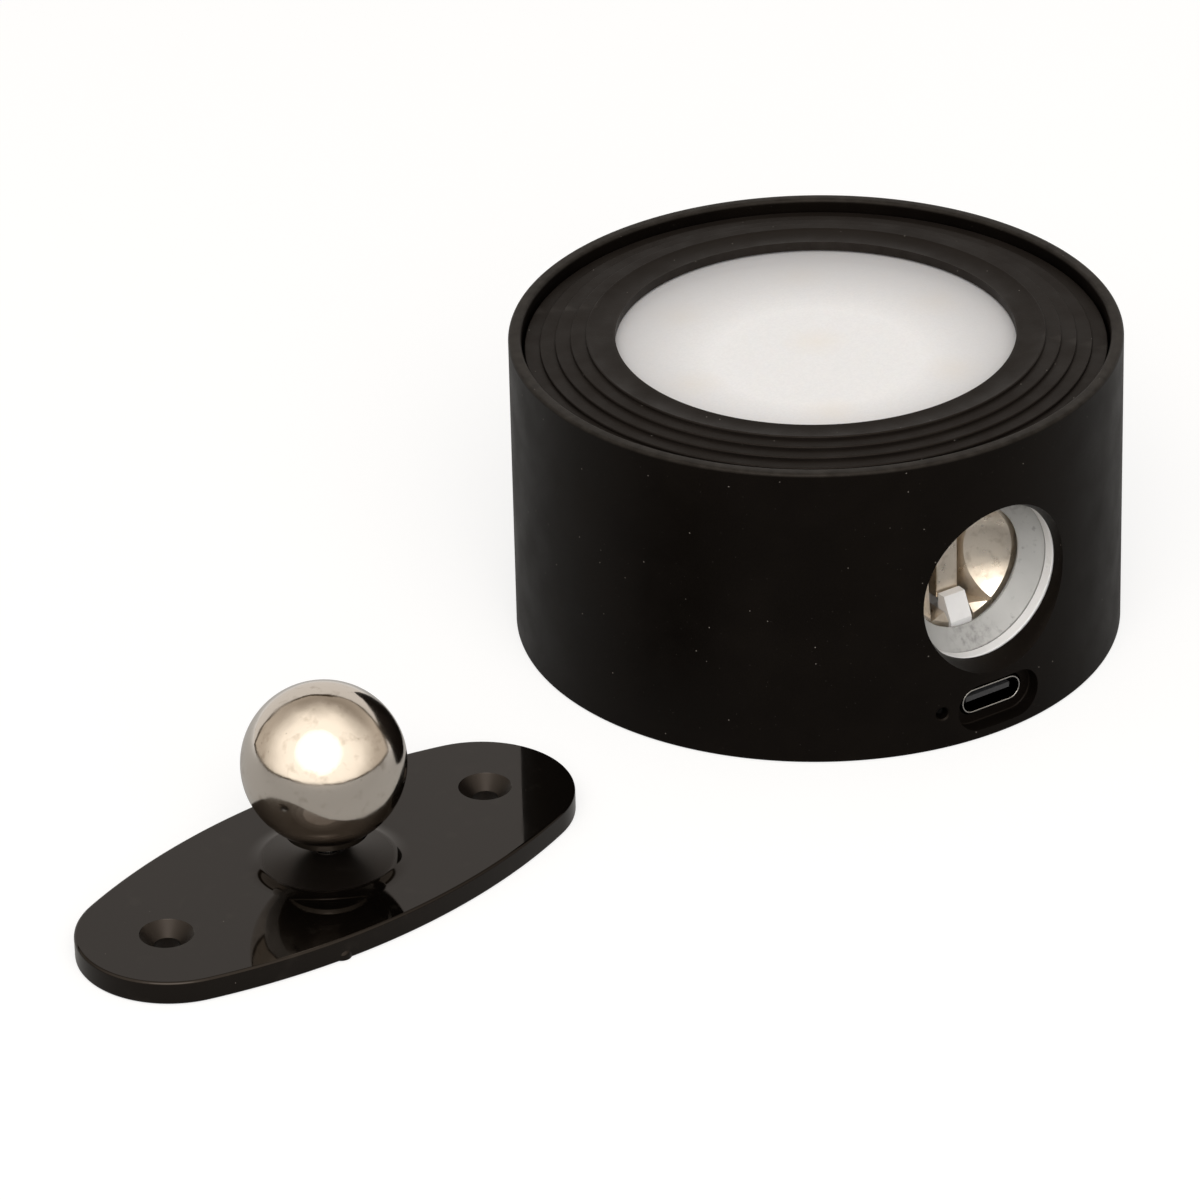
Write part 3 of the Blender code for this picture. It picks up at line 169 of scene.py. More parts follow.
# Bracket
BRACKET_TURN_DEG = 6.9
PLATE_THICKNESS = 0.0030
PLATE_SIDE_RADIUS = 0.0830
PLATE_END_RADIUS = 0.0120
PLATE_END_OFFSET = 0.0235
PLATE_ROUND = 0.00035
PLATE_HOLE_SPACING = 0.0496
PLATE_HOLE_RADIUS = 0.0016
PLATE_SINK_RADIUS = 0.00315
PLATE_SINK_DEPTH = 0.0016
SINK_EDGE = 0.00012
BOSS_BASE_RADIUS = 0.0101
BOSS_TOP_RADIUS = 0.0022
BOSS_HEIGHT = 0.0017
BOSS_CURVE = 1.1
NECK_CURVE = 8.0
NECK_SHARE = 0.22
BOSS_COVE_CURVE = 2
BOSS_SKIRT_RADIUS = 0.0083
BOSS_SKIRT_HEIGHT = 0.00028
BOSS_EDGE = 0.000004
BOSS_DULL_AND_SHEEN_EDGE = 0.0004
COLLAR_RADIUS = 0.0051
COLLAR_LIFT = 0.0007
COLLAR_ROUND = 0.0001
FOOT_SHADE_HEIGHT = 0.0034
GATE_RADIUS = 0.0013
GATE_HEIGHT = 0.0004
GATE_LIFT = 0.0001
GATE_SIDE = 0.0100
GATE_INSET = 0.00102
STUD_RADIUS = 0.0015
STUD_SLACK = 0.00025
STUD_HEAD_RADIUS = 0.0031
STUD_HEAD_DEPTH = 0.0015
STUD_GRIP = 0.0078

# Finishes
WARM_GLEAM = (1.0, 0.86, 0.76)
NOISE_LOW = 0.3
NOISE_HIGH = 0.7
WEAR_SIZE = 0.0015
WEAR_LOW = 0.52
WEAR_HIGH = 0.62
WEAR_SHARE = 0.5
RIM_WEAR = 0.8
BOSS_ROUGHNESS = 0.32
BOSS_SHEEN = (0.008, 0.006, 0.0048)
HOLE_ROUGHNESS = 0.42
FOOT_SHADE_SHARE = 0.92
DARK_PATCH_STRENGTH = 1.2
LED_GLOW_SHARE = 0.45
EDGE_SHADE = 0.95
INNER_GRAIN = 0.0008
INNER_DARKER = 0.7
INNER_SPREAD = 0.2

# How many of each
LED_TOTAL = 7
BEZEL_SCREW_TOTAL = 4
BOARD_SCREW_TOTAL = 3

# Facets
DRUM_STEPS = 288
SOCKET_STEPS = 160
BALL_STEPS = 192
HOLE_STEPS = 96
SMALL_STEPS = 32
ROUND_STEPS = 6
COVE_STEPS = 10
BOSS_STEPS = 40
OUTLINE_STEPS = 64
ROUND_SEGMENTS = 3
PLATE_ROUND_SEGMENTS = 4
FLAT_FACE_WEIGHT = 90
SHARP_ANGLE_DEG = 32
BEVEL_ANGLE_DEG = 40
OUTWARDS = math.pi / 2


def arc(centre_x, centre_y, radius, start, end, steps):
    turn = (end - start) / steps
    angles = [start + turn * i for i in range(steps + 1)]
    return [(centre_x + radius * math.cos(a), centre_y + radius * math.sin(a)) for a in angles]


def add_object(name, mesh, place=(0, 0, 0), turn=(0, 0, 0), parent=None):
    obj = bpy.data.objects.new(name, mesh)
    obj.location = place
    obj.rotation_euler = turn
    obj.parent = parent
    bpy.context.scene.collection.objects.link(obj)
    return obj


def add_axis(name, place, turn):
    return add_object(name, None, place, turn)


def turned(name, profile, steps, closed=False, **placing):
    """A profile of (radius, height) points turned round Z. It runs down its outer side."""
    mesh = bpy.data.meshes.new(name)
    ends = [(i, i + 1) for i in range(len(profile) - 1)]
    if closed:
        ends.append((len(profile) - 1, 0))
    mesh.from_pydata([(radius, 0, height) for radius, height in profile], ends, [])
    obj = add_object(name, mesh, **placing)
    screw = obj.modifiers.new("Turn", "SCREW")
    screw.steps = screw.render_steps = steps
    screw.use_merge_vertices = True
    screw.merge_threshold = WELD
    return obj


def rod(name, radius, bottom, top, steps, **placing):
    return turned(name, [(0, top), (radius, top), (radius, bottom), (0, bottom)], steps, **placing)


def prism(name, outline, bottom, top, **placing):
    """A flat outline of (x, y) points, anticlockwise, thick along Z."""
    mesh = bpy.data.meshes.new(name)
    shape = bmesh.new()
    face = shape.faces.new([shape.verts.new((x, y, bottom)) for x, y in outline])
    raised = bmesh.ops.extrude_face_region(shape, geom=[face])["geom"]
    tops = [item for item in raised if isinstance(item, bmesh.types.BMVert)]
    bmesh.ops.translate(shape, vec=(0, 0, top - bottom), verts=tops)
    bmesh.ops.recalc_face_normals(shape, faces=shape.faces)
    shape.to_mesh(mesh)
    shape.free()
    return add_object(name, mesh, **placing)


def block(name, low, high, **placing):
    outline = [(low[0], low[1]), (high[0], low[1]), (high[0], high[1]), (low[0], high[1])]
    return prism(name, outline, low[2], high[2], **placing)


def obround(width, height):
    radius = height / 2
    reach = width / 2 - radius
    right = arc(reach, 0, radius, -math.pi / 2, math.pi / 2, SMALL_STEPS // 2)
    return right + arc(-reach, 0, radius, math.pi / 2, 3 * math.pi / 2, SMALL_STEPS // 2)


def rounded(obj, width, segments=ROUND_SEGMENTS):
    """Rounds the sharp edges that the object has so far."""
    bevel = obj.modifiers.new("Rounding", "BEVEL")
    bevel.width = width
    bevel.segments = segments
    bevel.limit_method = "ANGLE"
    bevel.angle_limit = math.radians(BEVEL_ANGLE_DEG)
    return obj


def combine(obj, tool, operation):
    boolean = obj.modifiers.new(tool.name, "BOOLEAN")
    boolean.operation = operation
    boolean.solver = "EXACT"
    boolean.object = tool
    tool.hide_render = tool.hide_viewport = True
    TOOLS.add(tool.name)


def cut(obj, tool):
    combine(obj, tool, "DIFFERENCE")


def join(obj, tool):
    combine(obj, tool, "UNION")


def keep_inside(obj, tool):
    combine(obj, tool, "INTERSECT")


def bake(obj, flat_faces):
    """Applies the object's modifiers, moves its place into its mesh, and shades it smooth."""
    bpy.context.view_layer.update()
    graph = bpy.context.evaluated_depsgraph_get()
    mesh = bpy.data.meshes.new_from_object(obj.evaluated_get(graph))
    mesh.transform(obj.matrix_world)
    shape = bmesh.new()
    shape.from_mesh(mesh)
    bmesh.ops.remove_doubles(shape, verts=shape.verts, dist=WELD)
    bmesh.ops.dissolve_degenerate(shape, edges=shape.edges, dist=WELD)
    shape.to_mesh(mesh)
    shape.free()
    obj.modifiers.clear()
    obj.parent = None
    obj.matrix_world = Matrix.Identity(4)
    obj.data = mesh
    mesh.name = obj.name
    mesh.shade_smooth()
    mesh.set_sharp_from_angle(angle=math.radians(SHARP_ANGLE_DEG))
    if flat_faces:
        weigh = obj.modifiers.new("Flat faces", "WEIGHTED_NORMAL")
        weigh.weight = FLAT_FACE_WEIGHT
        weigh.keep_sharp = True


def stand_for(obj, material, slot, body, *nodes, flat_faces=True):
    """Bakes the piece, paints it, and puts it in place of the nodes that it stands for."""
    bake(obj, flat_faces)
    obj.data.materials.clear()
    obj.data.materials.append(material)
    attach(obj, body)
    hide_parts(*nodes)


class Paint:
    """A procedural material that is put together a node at a time."""

    def __init__(self, name, colour, roughness, metallic=0.0, ior=1.5, specular=0.5, gleam=(1, 1, 1)):
        self.made = bpy.data.materials.new(name)
        self.made.use_nodes = True
        self.tree = self.made.node_tree
        self.shader = self.tree.nodes["Principled BSDF"]
        self.bumps = []
        self.shader.inputs["Base Color"].default_value = (*colour, 1)
        self.shader.inputs["Roughness"].default_value = roughness
        self.shader.inputs["Metallic"].default_value = metallic
        self.shader.inputs["IOR"].default_value = ior
        self.shader.inputs["Specular IOR Level"].default_value = specular
        self.shader.inputs["Specular Tint"].default_value = (*gleam, 1)
        self.place = self.tree.nodes.new("ShaderNodeTexCoord").outputs["Object"]

    def link(self, output, target):
        self.tree.links.new(output, target)

    def noise(self, size, detail=3.0, stretch=None):
        """Noise whose blots are about that size, in metres."""
        place = self.place
        if stretch:
            mapping = self.tree.nodes.new("ShaderNodeMapping")
            mapping.inputs["Scale"].default_value = stretch
            self.link(place, mapping.inputs["Vector"])
            place = mapping.outputs["Vector"]
        node = self.tree.nodes.new("ShaderNodeTexNoise")
        node.inputs["Scale"].default_value = 1 / size
        node.inputs["Detail"].default_value = detail
        self.link(place, node.inputs["Vector"])
        return node.outputs["Fac"]

    def along(self, axis):
        """How far along an axis the point is."""
        node = self.tree.nodes.new("ShaderNodeVectorMath")
        node.operation = "DOT_PRODUCT"
        self.link(self.place, node.inputs[0])
        node.inputs[1].default_value = axis
        return node.outputs["Value"]

    def distance_from(self, point):
        node = self.tree.nodes.new("ShaderNodeVectorMath")
        node.operation = "DISTANCE"
        self.link(self.place, node.inputs[0])
        node.inputs[1].default_value = point
        return node.outputs["Value"]

    def specks(self, spacing, radius):
        """One small round speck at each point of a scatter, 1 in its middle."""
        node = self.tree.nodes.new("ShaderNodeTexVoronoi")
        node.inputs["Scale"].default_value = 1 / spacing
        self.link(self.place, node.inputs["Vector"])
        return self.ranged(node.outputs["Distance"], radius / spacing / 2, radius / spacing, 1.0, 0.0)

    def ranged(self, value, low, high, to_low=0.0, to_high=1.0):
        node = self.tree.nodes.new("ShaderNodeMapRange")
        node.inputs["From Min"].default_value = low
        node.inputs["From Max"].default_value = high
        node.inputs["To Min"].default_value = to_low
        node.inputs["To Max"].default_value = to_high
        self.link(value, node.inputs["Value"])
        return node.outputs["Result"]

    def maths(self, operation, first, second):
        node = self.tree.nodes.new("ShaderNodeMath")
        node.operation = operation
        for socket, value in zip(node.inputs, (first, second)):
            if isinstance(value, (int, float)):
                socket.default_value = value
            else:
                self.link(value, socket)
        return node.outputs["Value"]

    def tint(self, share, colour):
        """Mixes a colour in by a share from 0 to 1."""
        node = self.tree.nodes.new("ShaderNodeMix")
        node.data_type = "RGBA"
        before = self.shader.inputs["Base Color"]
        if before.links:
            self.link(before.links[0].from_socket, node.inputs["A"])
        else:
            node.inputs["A"].default_value = before.default_value
        node.inputs["B"].default_value = (*colour, 1)
        self.link(share, node.inputs["Factor"])
        self.link(node.outputs["Result"], before)

    def blot(self, size, low, high, share, colour, **noise):
        """Tints the blots of a noise, which fade in from low to high."""
        self.tint(self.ranged(self.noise(size, **noise), low, high, 0.0, share), colour)

    def vary(self, value, low, high):
        """Roughness that follows a value, from low to high."""
        self.link(self.ranged(value, NOISE_LOW, NOISE_HIGH, low, high), self.shader.inputs["Roughness"])

    def bump(self, value, height):
        node = self.tree.nodes.new("ShaderNodeBump")
        node.inputs["Distance"].default_value = height
        self.link(value, node.inputs["Height"])
        if self.bumps:
            self.link(self.bumps[-1], node.inputs["Normal"])
        self.bumps.append(node.outputs["Normal"])
        self.link(node.outputs["Normal"], self.shader.inputs["Normal"])

    def worn_edges(self, colour):
        shape = self.tree.nodes.new("ShaderNodeNewGeometry")
        edge = self.ranged(shape.outputs["Pointiness"], WEAR_LOW, WEAR_HIGH, 0.0, WEAR_SHARE)
        self.tint(self.maths("MULTIPLY", edge, self.noise(WEAR_SIZE)), colour)


def matte_black():
    """The case: fine grain, dust, and a rim that is a little worn."""
    paint = Paint("matte_black", (0.0018, 0.0013, 0.0010), roughness=0.42, specular=0.10, gleam=WARM_GLEAM)
    paint.blot(size=0.012, low=0.4, high=0.7, share=0.6, colour=(0.0040, 0.0030, 0.0023))
    paint.tint(paint.specks(spacing=0.0021, radius=0.00010), (0.18, 0.16, 0.14))
    paint.tint(paint.specks(spacing=0.0009, radius=0.00005), (0.055, 0.049, 0.043))
    paint.vary(paint.noise(size=0.006), low=0.38, high=0.48)
    paint.bump(paint.noise(size=0.00012, detail=1.0), height=0.000012)
    rim = paint.ranged(paint.along((0, 0, 1)), LAMP_HEIGHT - RIM_ROUND, LAMP_HEIGHT, 0.0, RIM_WEAR)
    paint.tint(paint.maths("MULTIPLY", rim, paint.noise(WEAR_SIZE)), (0.05, 0.044, 0.038))
    return paint.made


def bezel_black():
    """The bezel: a touch lighter than the case, with worn steps."""
    paint = Paint("bezel_black", (0.0062, 0.0048, 0.0040), roughness=0.5, specular=0.14, gleam=WARM_GLEAM)
    paint.blot(size=0.009, low=0.4, high=0.7, share=0.5, colour=(0.0105, 0.0085, 0.0072))
    paint.tint(paint.specks(spacing=0.0022, radius=0.00010), (0.20, 0.18, 0.16))
    paint.vary(paint.noise(size=0.004), low=0.42, high=0.56)
    paint.bump(paint.noise(size=0.00016, detail=1.0), height=0.000014)
    paint.worn_edges((0.045, 0.040, 0.036))
    return paint.made


def glossy_black():
    """The polished plate, with smears and dust, and a painted brown sheen on the boss and the screw holes'
    walls.
    """
    paint = Paint("glossy_black", (0.0016, 0.0012, 0.0009), roughness=0.035, ior=1.40, gleam=WARM_GLEAM)
    smears = paint.noise(size=0.010, stretch=(1.0, 2.5, 1.0))
    smears = paint.ranged(smears, NOISE_LOW, NOISE_HIGH, to_low=0.02, to_high=0.06)
    grain = boss_dullness_and_sheen(paint)
    paint.link(paint.maths("MAXIMUM", smears, grain), paint.shader.inputs["Roughness"])
    # Painted sheen: the boss and the screw holes' walls are lightened brown, by the share that makes them
    # duller.
    paint.tint(grain, BOSS_SHEEN)
    paint.blot(size=0.003, low=0.60, high=0.74, share=0.5, colour=(0.012, 0.010, 0.008), detail=8.0)
    paint.tint(paint.specks(spacing=0.0035, radius=0.00008), (0.16, 0.14, 0.12))
    paint.bump(paint.noise(size=0.016, detail=1.0), height=0.00002)
    return paint.made


def boss_dullness_and_sheen(paint):
    """The boss and the walls of the two screw holes are duller than the polished plate. The same share
    paints their brown sheen.
    """
    spin = Matrix.Rotation(math.radians(BRACKET_TURN_DEG), 3, "Z")
    axis = Vector((*BRACKET_PLACE[:2], PLATE_THICKNESS))
    reach = paint.distance_from(axis)
    full_to = BOSS_SKIRT_RADIUS - BOSS_DULL_AND_SHEEN_EDGE
    rough = paint.ranged(reach, full_to, BOSS_SKIRT_RADIUS, BOSS_ROUGHNESS, 0.0)
    for side in (-1, 1):
        reach = paint.distance_from(axis + spin @ Vector((side * PLATE_HOLE_SPACING / 2, 0, 0)))
        rim = PLATE_SINK_RADIUS + SINK_EDGE
        hole = paint.ranged(reach, rim - SINK_EDGE / 2, rim, HOLE_ROUGHNESS, 0.0)
        rough = paint.maths("MAXIMUM", rough, hole)
    return rough


def opal():
    """The diffuser: warm white and a little grainy, with the LEDs faint behind it, and painted shade
    towards its edge.
    """
    paint = Paint("opal", (0.945, 0.922, 0.903), roughness=0.5)
    paint.shader.inputs["Subsurface Weight"].default_value = 0.15
    paint.shader.inputs["Subsurface Radius"].default_value = (0.002, 0.0016, 0.0012)
    paint.blot(size=0.0003, low=0.35, high=0.65, share=0.25, colour=(0.77, 0.75, 0.745), detail=2.0)
    paint.tint(led_spots(paint), (0.92, 0.84, 0.74))
    # Painted shade towards the diffuser's edge.
    paint.tint(edge_shade(paint), (0.55, 0.535, 0.53))
    paint.vary(paint.noise(size=0.001), low=0.42, high=0.58)
    paint.bump(paint.noise(size=0.0002, detail=1.0), height=0.00001)
    return paint.made


def edge_shade(paint):
    """Painted shade: the opal is darkened towards the bezel that grips it, round a middle set off to the
    front, so the back edge is darkest.
    """
    reach = paint.distance_from((*SHADE_CENTRE, DIFFUSER_HIGH.z))
    return paint.ranged(reach, SHADE_START, DIFFUSER_HIGH.x, 0.0, EDGE_SHADE)


def led_spots(paint):
    """Soft spots over the LEDs, which show through."""
    total = 0.0
    for number in range(1, LED_TOTAL + 1):
        low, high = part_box(f"led_{number}")
        middle = (low + high) / 2
        reach = paint.distance_from((middle.x, middle.y, DIFFUSER_HIGH.z))
        spot = paint.ranged(reach, 0.0, LED_GLOW_RADIUS, LED_GLOW_SHARE, 0.0)
        total = paint.maths("ADD", total, spot)
    return total


def white_plastic():
    """Moulded white plastic, a little greyed in places."""
    paint = Paint("white_plastic", (0.84, 0.83, 0.82), roughness=0.32)
    paint.blot(size=0.002, low=0.5, high=0.8, share=0.4, colour=(0.76, 0.74, 0.72))
    paint.vary(paint.noise(size=0.003), low=0.26, high=0.40)
    paint.bump(paint.noise(size=0.0006), height=0.000008)
    return paint.made


def grey_silicone():
    """Soft grey rubber, darker in streaky patches: a large one at the bottom of its throat and a small one
    higher up.
    """
    paint = Paint("grey_silicone", (0.40, 0.395, 0.38), roughness=0.42)
    paint.blot(size=0.0030, low=0.45, high=0.75, share=0.5, colour=(0.46, 0.455, 0.44))
    paint.blot(size=0.0011, low=0.62, high=0.74, share=0.5, colour=(0.14, 0.135, 0.13))
    foot = (0, GRIP_LOW.y, SOCKET_HEIGHT - GRIP_THROAT)
    # Darker streaky patches round two points: the bottom of the throat, and a smaller one higher up.
    for place, radius in ((foot, DARK_PATCH_RADIUS), (GRIP_DARK_PATCH_PLACE, DARK_PATCH_RADIUS / 2)):
        near = paint.ranged(paint.distance_from(place), 0.0, radius, DARK_PATCH_STRENGTH, 0.0)
        streaks = paint.noise(size=0.0007, stretch=(1.0, 1.0, 0.5))
        dark_patch = paint.maths("MULTIPLY", near, paint.ranged(streaks, low=0.45, high=0.70))
        paint.tint(dark_patch, (0.17, 0.165, 0.16))
    paint.vary(paint.noise(size=0.002), low=0.34, high=0.52)
    paint.bump(paint.noise(size=0.0004), height=0.00001)
    return paint.made


def polished_nickel():
    """A mirror with faint stains, and painted shade at the ball's foot: its seat and lowest part are
    darkened.
    """
    paint = Paint("polished_nickel", (0.76, 0.70, 0.63), roughness=0.03, metallic=1.0)
    paint.vary(paint.noise(size=0.004, detail=6.0), low=0.06, high=0.17)
    paint.blot(size=0.0016, low=0.56, high=0.72, share=0.6, colour=(0.52, 0.46, 0.39), detail=8.0)
    paint.tint(paint.specks(spacing=0.0016, radius=0.00008), (0.25, 0.21, 0.16))
    # Painted shade: darker towards the bottom, full on the seat and fading out above it.
    collar_top = BALL_HEIGHT - math.sqrt(BALL_RADIUS**2 - COLLAR_RADIUS**2)
    foot_shade_top = collar_top + FOOT_SHADE_HEIGHT
    foot_shade = paint.ranged(paint.along((0, 0, 1)), collar_top, foot_shade_top, FOOT_SHADE_SHARE, 0.0)
    paint.tint(foot_shade, (0.045, 0.036, 0.028))
    paint.bump(paint.noise(size=0.006, detail=2.0), height=0.00009)
    paint.bump(paint.noise(size=0.0009, detail=4.0), height=0.000006)
    return paint.made


def plated_steel():
    """Dull plating over turned steel, with stains."""
    paint = Paint("plated_steel", (0.80, 0.73, 0.64), roughness=0.16, metallic=1.0)
    paint.blot(size=0.0012, low=0.52, high=0.72, share=0.6, colour=(0.52, 0.45, 0.36), detail=8.0)
    paint.vary(paint.noise(size=0.0018, detail=4.0), low=0.24, high=0.40)
    paint.bump(paint.noise(size=0.0004, stretch=(3.0, 1.0, 0.6)), height=0.000012)
    paint.bump(paint.noise(size=0.0035, detail=2.0), height=0.00008)
    return paint.made


def bright_steel():
    """Screws."""
    paint = Paint("bright_steel", (0.50, 0.49, 0.47), roughness=0.22, metallic=1.0)
    paint.vary(paint.noise(size=0.0008), low=0.16, high=0.32)
    paint.bump(paint.noise(size=0.0003), height=0.000006)
    return paint.made


def port_steel():
    """Steel with a bright front edge, and painted shade that darkens its bore inwards from that edge."""
    paint = Paint("port_steel", (0.50, 0.49, 0.47), roughness=0.22, metallic=1.0)
    depth = paint.along((0, 1, 0))
    # Painted shade: the bore darkens inwards from just behind the front edge.
    bore = paint.ranged(depth, SHELL_LOW.y + PORT_ROUND, SHELL_LOW.y + PORT_SHADE_DEPTH)
    paint.tint(bore, (0.012, 0.012, 0.012))
    paint.vary(paint.noise(size=0.0008), low=0.18, high=0.28)
    paint.bump(paint.noise(size=0.0003), height=0.000004)
    return paint.made


def smoked_lens():
    """The indicator's pipe: dull, and almost black."""
    paint = Paint("smoked_lens", (0.0015, 0.0015, 0.0015), roughness=0.5, specular=0.1)
    paint.blot(size=0.0004, low=0.4, high=0.7, share=0.5, colour=(0.003, 0.0025, 0.002))
    paint.vary(paint.noise(size=0.0003), low=0.4, high=0.6)
    paint.bump(paint.noise(size=0.0002), height=0.000005)
    return paint.made


def inner_finish(name, colour, roughness, metallic=0.0):
    """The finish of a piece inside the case: a little mottled and grained."""
    paint = Paint(name, colour, roughness, metallic=metallic)
    darker = tuple(INNER_DARKER * part for part in colour)
    paint.blot(size=4 * INNER_GRAIN, low=0.45, high=0.75, share=0.5, colour=darker)
    roughest = min(1.0, (1 + INNER_SPREAD) * roughness)
    paint.vary(paint.noise(3 * INNER_GRAIN), (1 - INNER_SPREAD) * roughness, roughest)
    paint.bump(paint.noise(INNER_GRAIN), height=0.00001)
    return paint.made


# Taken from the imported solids
HOUSING_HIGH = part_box("housing")[1]
LAMP_RADIUS, LAMP_HEIGHT = HOUSING_HIGH.x, HOUSING_HIGH.z
RING_LOW, RING_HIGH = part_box("socket_ring")
GRIP_LOW, GRIP_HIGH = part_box("grip_ring")
MAGNET_LOW, MAGNET_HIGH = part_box("magnet")
SHOE_LOW, SHOE_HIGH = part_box("pole_shoe_right")
SHELL_LOW, SHELL_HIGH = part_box("usb_shell")
DIFFUSER_LOW, DIFFUSER_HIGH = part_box("diffuser")
BALL_LOW, BALL_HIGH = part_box("ball")
PIPE_LOW, PIPE_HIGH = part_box("indicator_pipe")

# What follows from them
HOUSING_INNER = LAMP_RADIUS - HOUSING_WALL
SOCKET_PAD_BACK = LAMP_RADIUS - SOCKET_PAD_SETBACK
PORT_PAD_BACK = LAMP_RADIUS - PORT_PAD_SETBACK
SOCKET_HEIGHT = (RING_LOW.z + RING_HIGH.z) / 2
RING_RADIUS = RING_HIGH.x
RING_FRONT, RING_BACK = -RING_LOW.y, -RING_HIGH.y
HOLE_RADIUS = BALL_RADIUS + HOLE_SLACK
SOCKET_SEAT_REACH = RING_FRONT + GAP
DOCKED_REACH = LAMP_RADIUS - DOCKED_SETBACK
PORT_HEIGHT = (SHELL_LOW.z + SHELL_HIGH.z) / 2
PORT_WIDTH, PORT_THICKNESS = SHELL_HIGH.x - SHELL_LOW.x, SHELL_HIGH.z - SHELL_LOW.z
PORT_FACE_REACH = -SHELL_LOW.y
INDICATOR_HEIGHT = (PIPE_LOW.z + PIPE_HIGH.z) / 2
BALL_MIDDLE = (BALL_LOW + BALL_HIGH) / 2
BALL_HEIGHT = BALL_HIGH.z - BALL_RADIUS
BRACKET_PLACE = (BALL_MIDDLE.x, BALL_MIDDLE.y, 0)
BOSS_TOP = PLATE_THICKNESS + BOSS_HEIGHT

# Names of the cutters and joined shapes, which are removed at the end
TOOLS = set()


def numbered(name, count):
    return [f"{name}_{i}" for i in range(1, count + 1)]


# The name, colour, roughness and metallic share of each finish inside, and the nodes that have it
INNER_FINISHES = (
    ("brushed_aluminium", (0.72, 0.72, 0.72), 0.4, 1.0, ["light_carrier", "led_board"]),
    ("copper", (0.72, 0.35, 0.22), 0.35, 1.0, ["touch_pad", "touch_spring"]),
    ("nickel_tab", (0.66, 0.60, 0.53), 0.25, 1.0, ["positive_tab", "negative_tab"]),
    ("board_green", (0.02, 0.16, 0.07), 0.45, 0.0, ["control_board"]),
    ("led_phosphor", (0.85, 0.62, 0.18), 0.4, 0.0, [*numbered("led", LED_TOTAL), "indicator_led"]),
    ("dark_plastic", (0.03, 0.03, 0.03), 0.5, 0.0, ["battery_cradle"]),
    ("cell_wrap", (0.05, 0.16, 0.45), 0.35, 0.0, ["battery_cell"]),
    ("grey_foam", (0.25, 0.25, 0.25), 0.9, 0.0, ["foam_pad"]),
    ("red_lead", (0.55, 0.03, 0.02), 0.5, 0.0, ["positive_lead", "light_lead_positive"]),
    (
        "dark_insulation", (0.02, 0.02, 0.02), 0.5, 0.0,
        ["negative_lead", "light_lead_negative", "control_chip"],
    ),
)

# The axes that the side openings and the bracket's shapes are turned round
SOCKET = add_axis("socket_axis", (0, 0, SOCKET_HEIGHT), (OUTWARDS, 0, 0))
PORT = add_axis("port_axis", (0, 0, PORT_HEIGHT), (OUTWARDS, 0, 0))
INDICATOR = add_axis(
    "indicator_axis", (0, 0, INDICATOR_HEIGHT), (OUTWARDS, 0, -math.radians(INDICATOR_TURN_DEG))
)
BRACKET = add_axis("bracket_axis", BRACKET_PLACE, (0, 0, math.radians(BRACKET_TURN_DEG)))


def housing_profile():
    rim = LAMP_HEIGHT - RIM_ROUND
    groove_middle = LAMP_HEIGHT - SNAP_GROOVE_DROP
    groove = HOUSING_INNER + SNAP_GROOVE_DEPTH
    return [
        (0, HOUSING_FLOOR),
        (HOUSING_INNER, HOUSING_FLOOR),
        (HOUSING_INNER, groove_middle - SNAP_GROOVE_HEIGHT / 2),
        (groove, groove_middle - SNAP_GROOVE_HEIGHT / 2),
        (groove, groove_middle + SNAP_GROOVE_HEIGHT / 2),
        (HOUSING_INNER, groove_middle + SNAP_GROOVE_HEIGHT / 2),
        (HOUSING_INNER, rim - ROUND_MARGIN),
        *arc(HOUSING_INNER + RIM_ROUND, rim, RIM_ROUND, math.pi, math.pi / 2, ROUND_STEPS),
        *arc(LAMP_RADIUS - RIM_ROUND, rim, RIM_ROUND, math.pi / 2, 0, ROUND_STEPS),
        (LAMP_RADIUS, rim - ROUND_MARGIN),
        (LAMP_RADIUS, BASE_ROUND + ROUND_MARGIN),
        *arc(LAMP_RADIUS - BASE_ROUND, BASE_ROUND, BASE_ROUND, 0, -math.pi / 2, ROUND_STEPS),
        (0, 0),
    ]


def add_inner_pads(housing):
    """The pads behind the socket and the port, and the posts that the screws go into."""
    mid_wall = LAMP_RADIUS - HOUSING_WALL / 2
    core = rod("housing_core", mid_wall, HOUSING_FLOOR / 2, LAMP_HEIGHT, DRUM_STEPS)
    pad_radius = RING_RADIUS + GAP + SOCKET_PAD_WALL
    pad = rod("socket_pad", pad_radius, SOCKET_PAD_BACK, LAMP_RADIUS, SOCKET_STEPS, parent=SOCKET)
    port_pad = block(
        "port_pad",
        (-PORT_PAD_WIDTH / 2, -PORT_HEIGHT, PORT_PAD_BACK),
        (PORT_PAD_WIDTH / 2, PORT_POCKET_HEIGHT / 2 + ROOT, LAMP_RADIUS),
        parent=PORT,
    )
    for boss in (pad, port_pad):
        keep_inside(boss, core)
        join(housing, boss)
    for name in ("left", "right"):
        low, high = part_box(f"holder_screw_{name}")
        place = ((low.x + high.x) / 2, 0, 0)
        post = rod(
            f"ear_post_{name}", EAR_POST_RADIUS, RING_BACK, LAMP_RADIUS, SMALL_STEPS,
            parent=SOCKET, place=place,
        )
        keep_inside(post, core)
        join(housing, post)
    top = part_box("control_board")[0].z - GAP
    for number in range(1, BOARD_SCREW_TOTAL + 1):
        low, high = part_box(f"board_screw_{number}")
        place = ((low.x + high.x) / 2, (low.y + high.y) / 2, 0)
        join(housing, rod(
            f"board_post_{number}", POST_RADIUS, HOUSING_FLOOR - ROOT, top, SMALL_STEPS, place=place
        ))


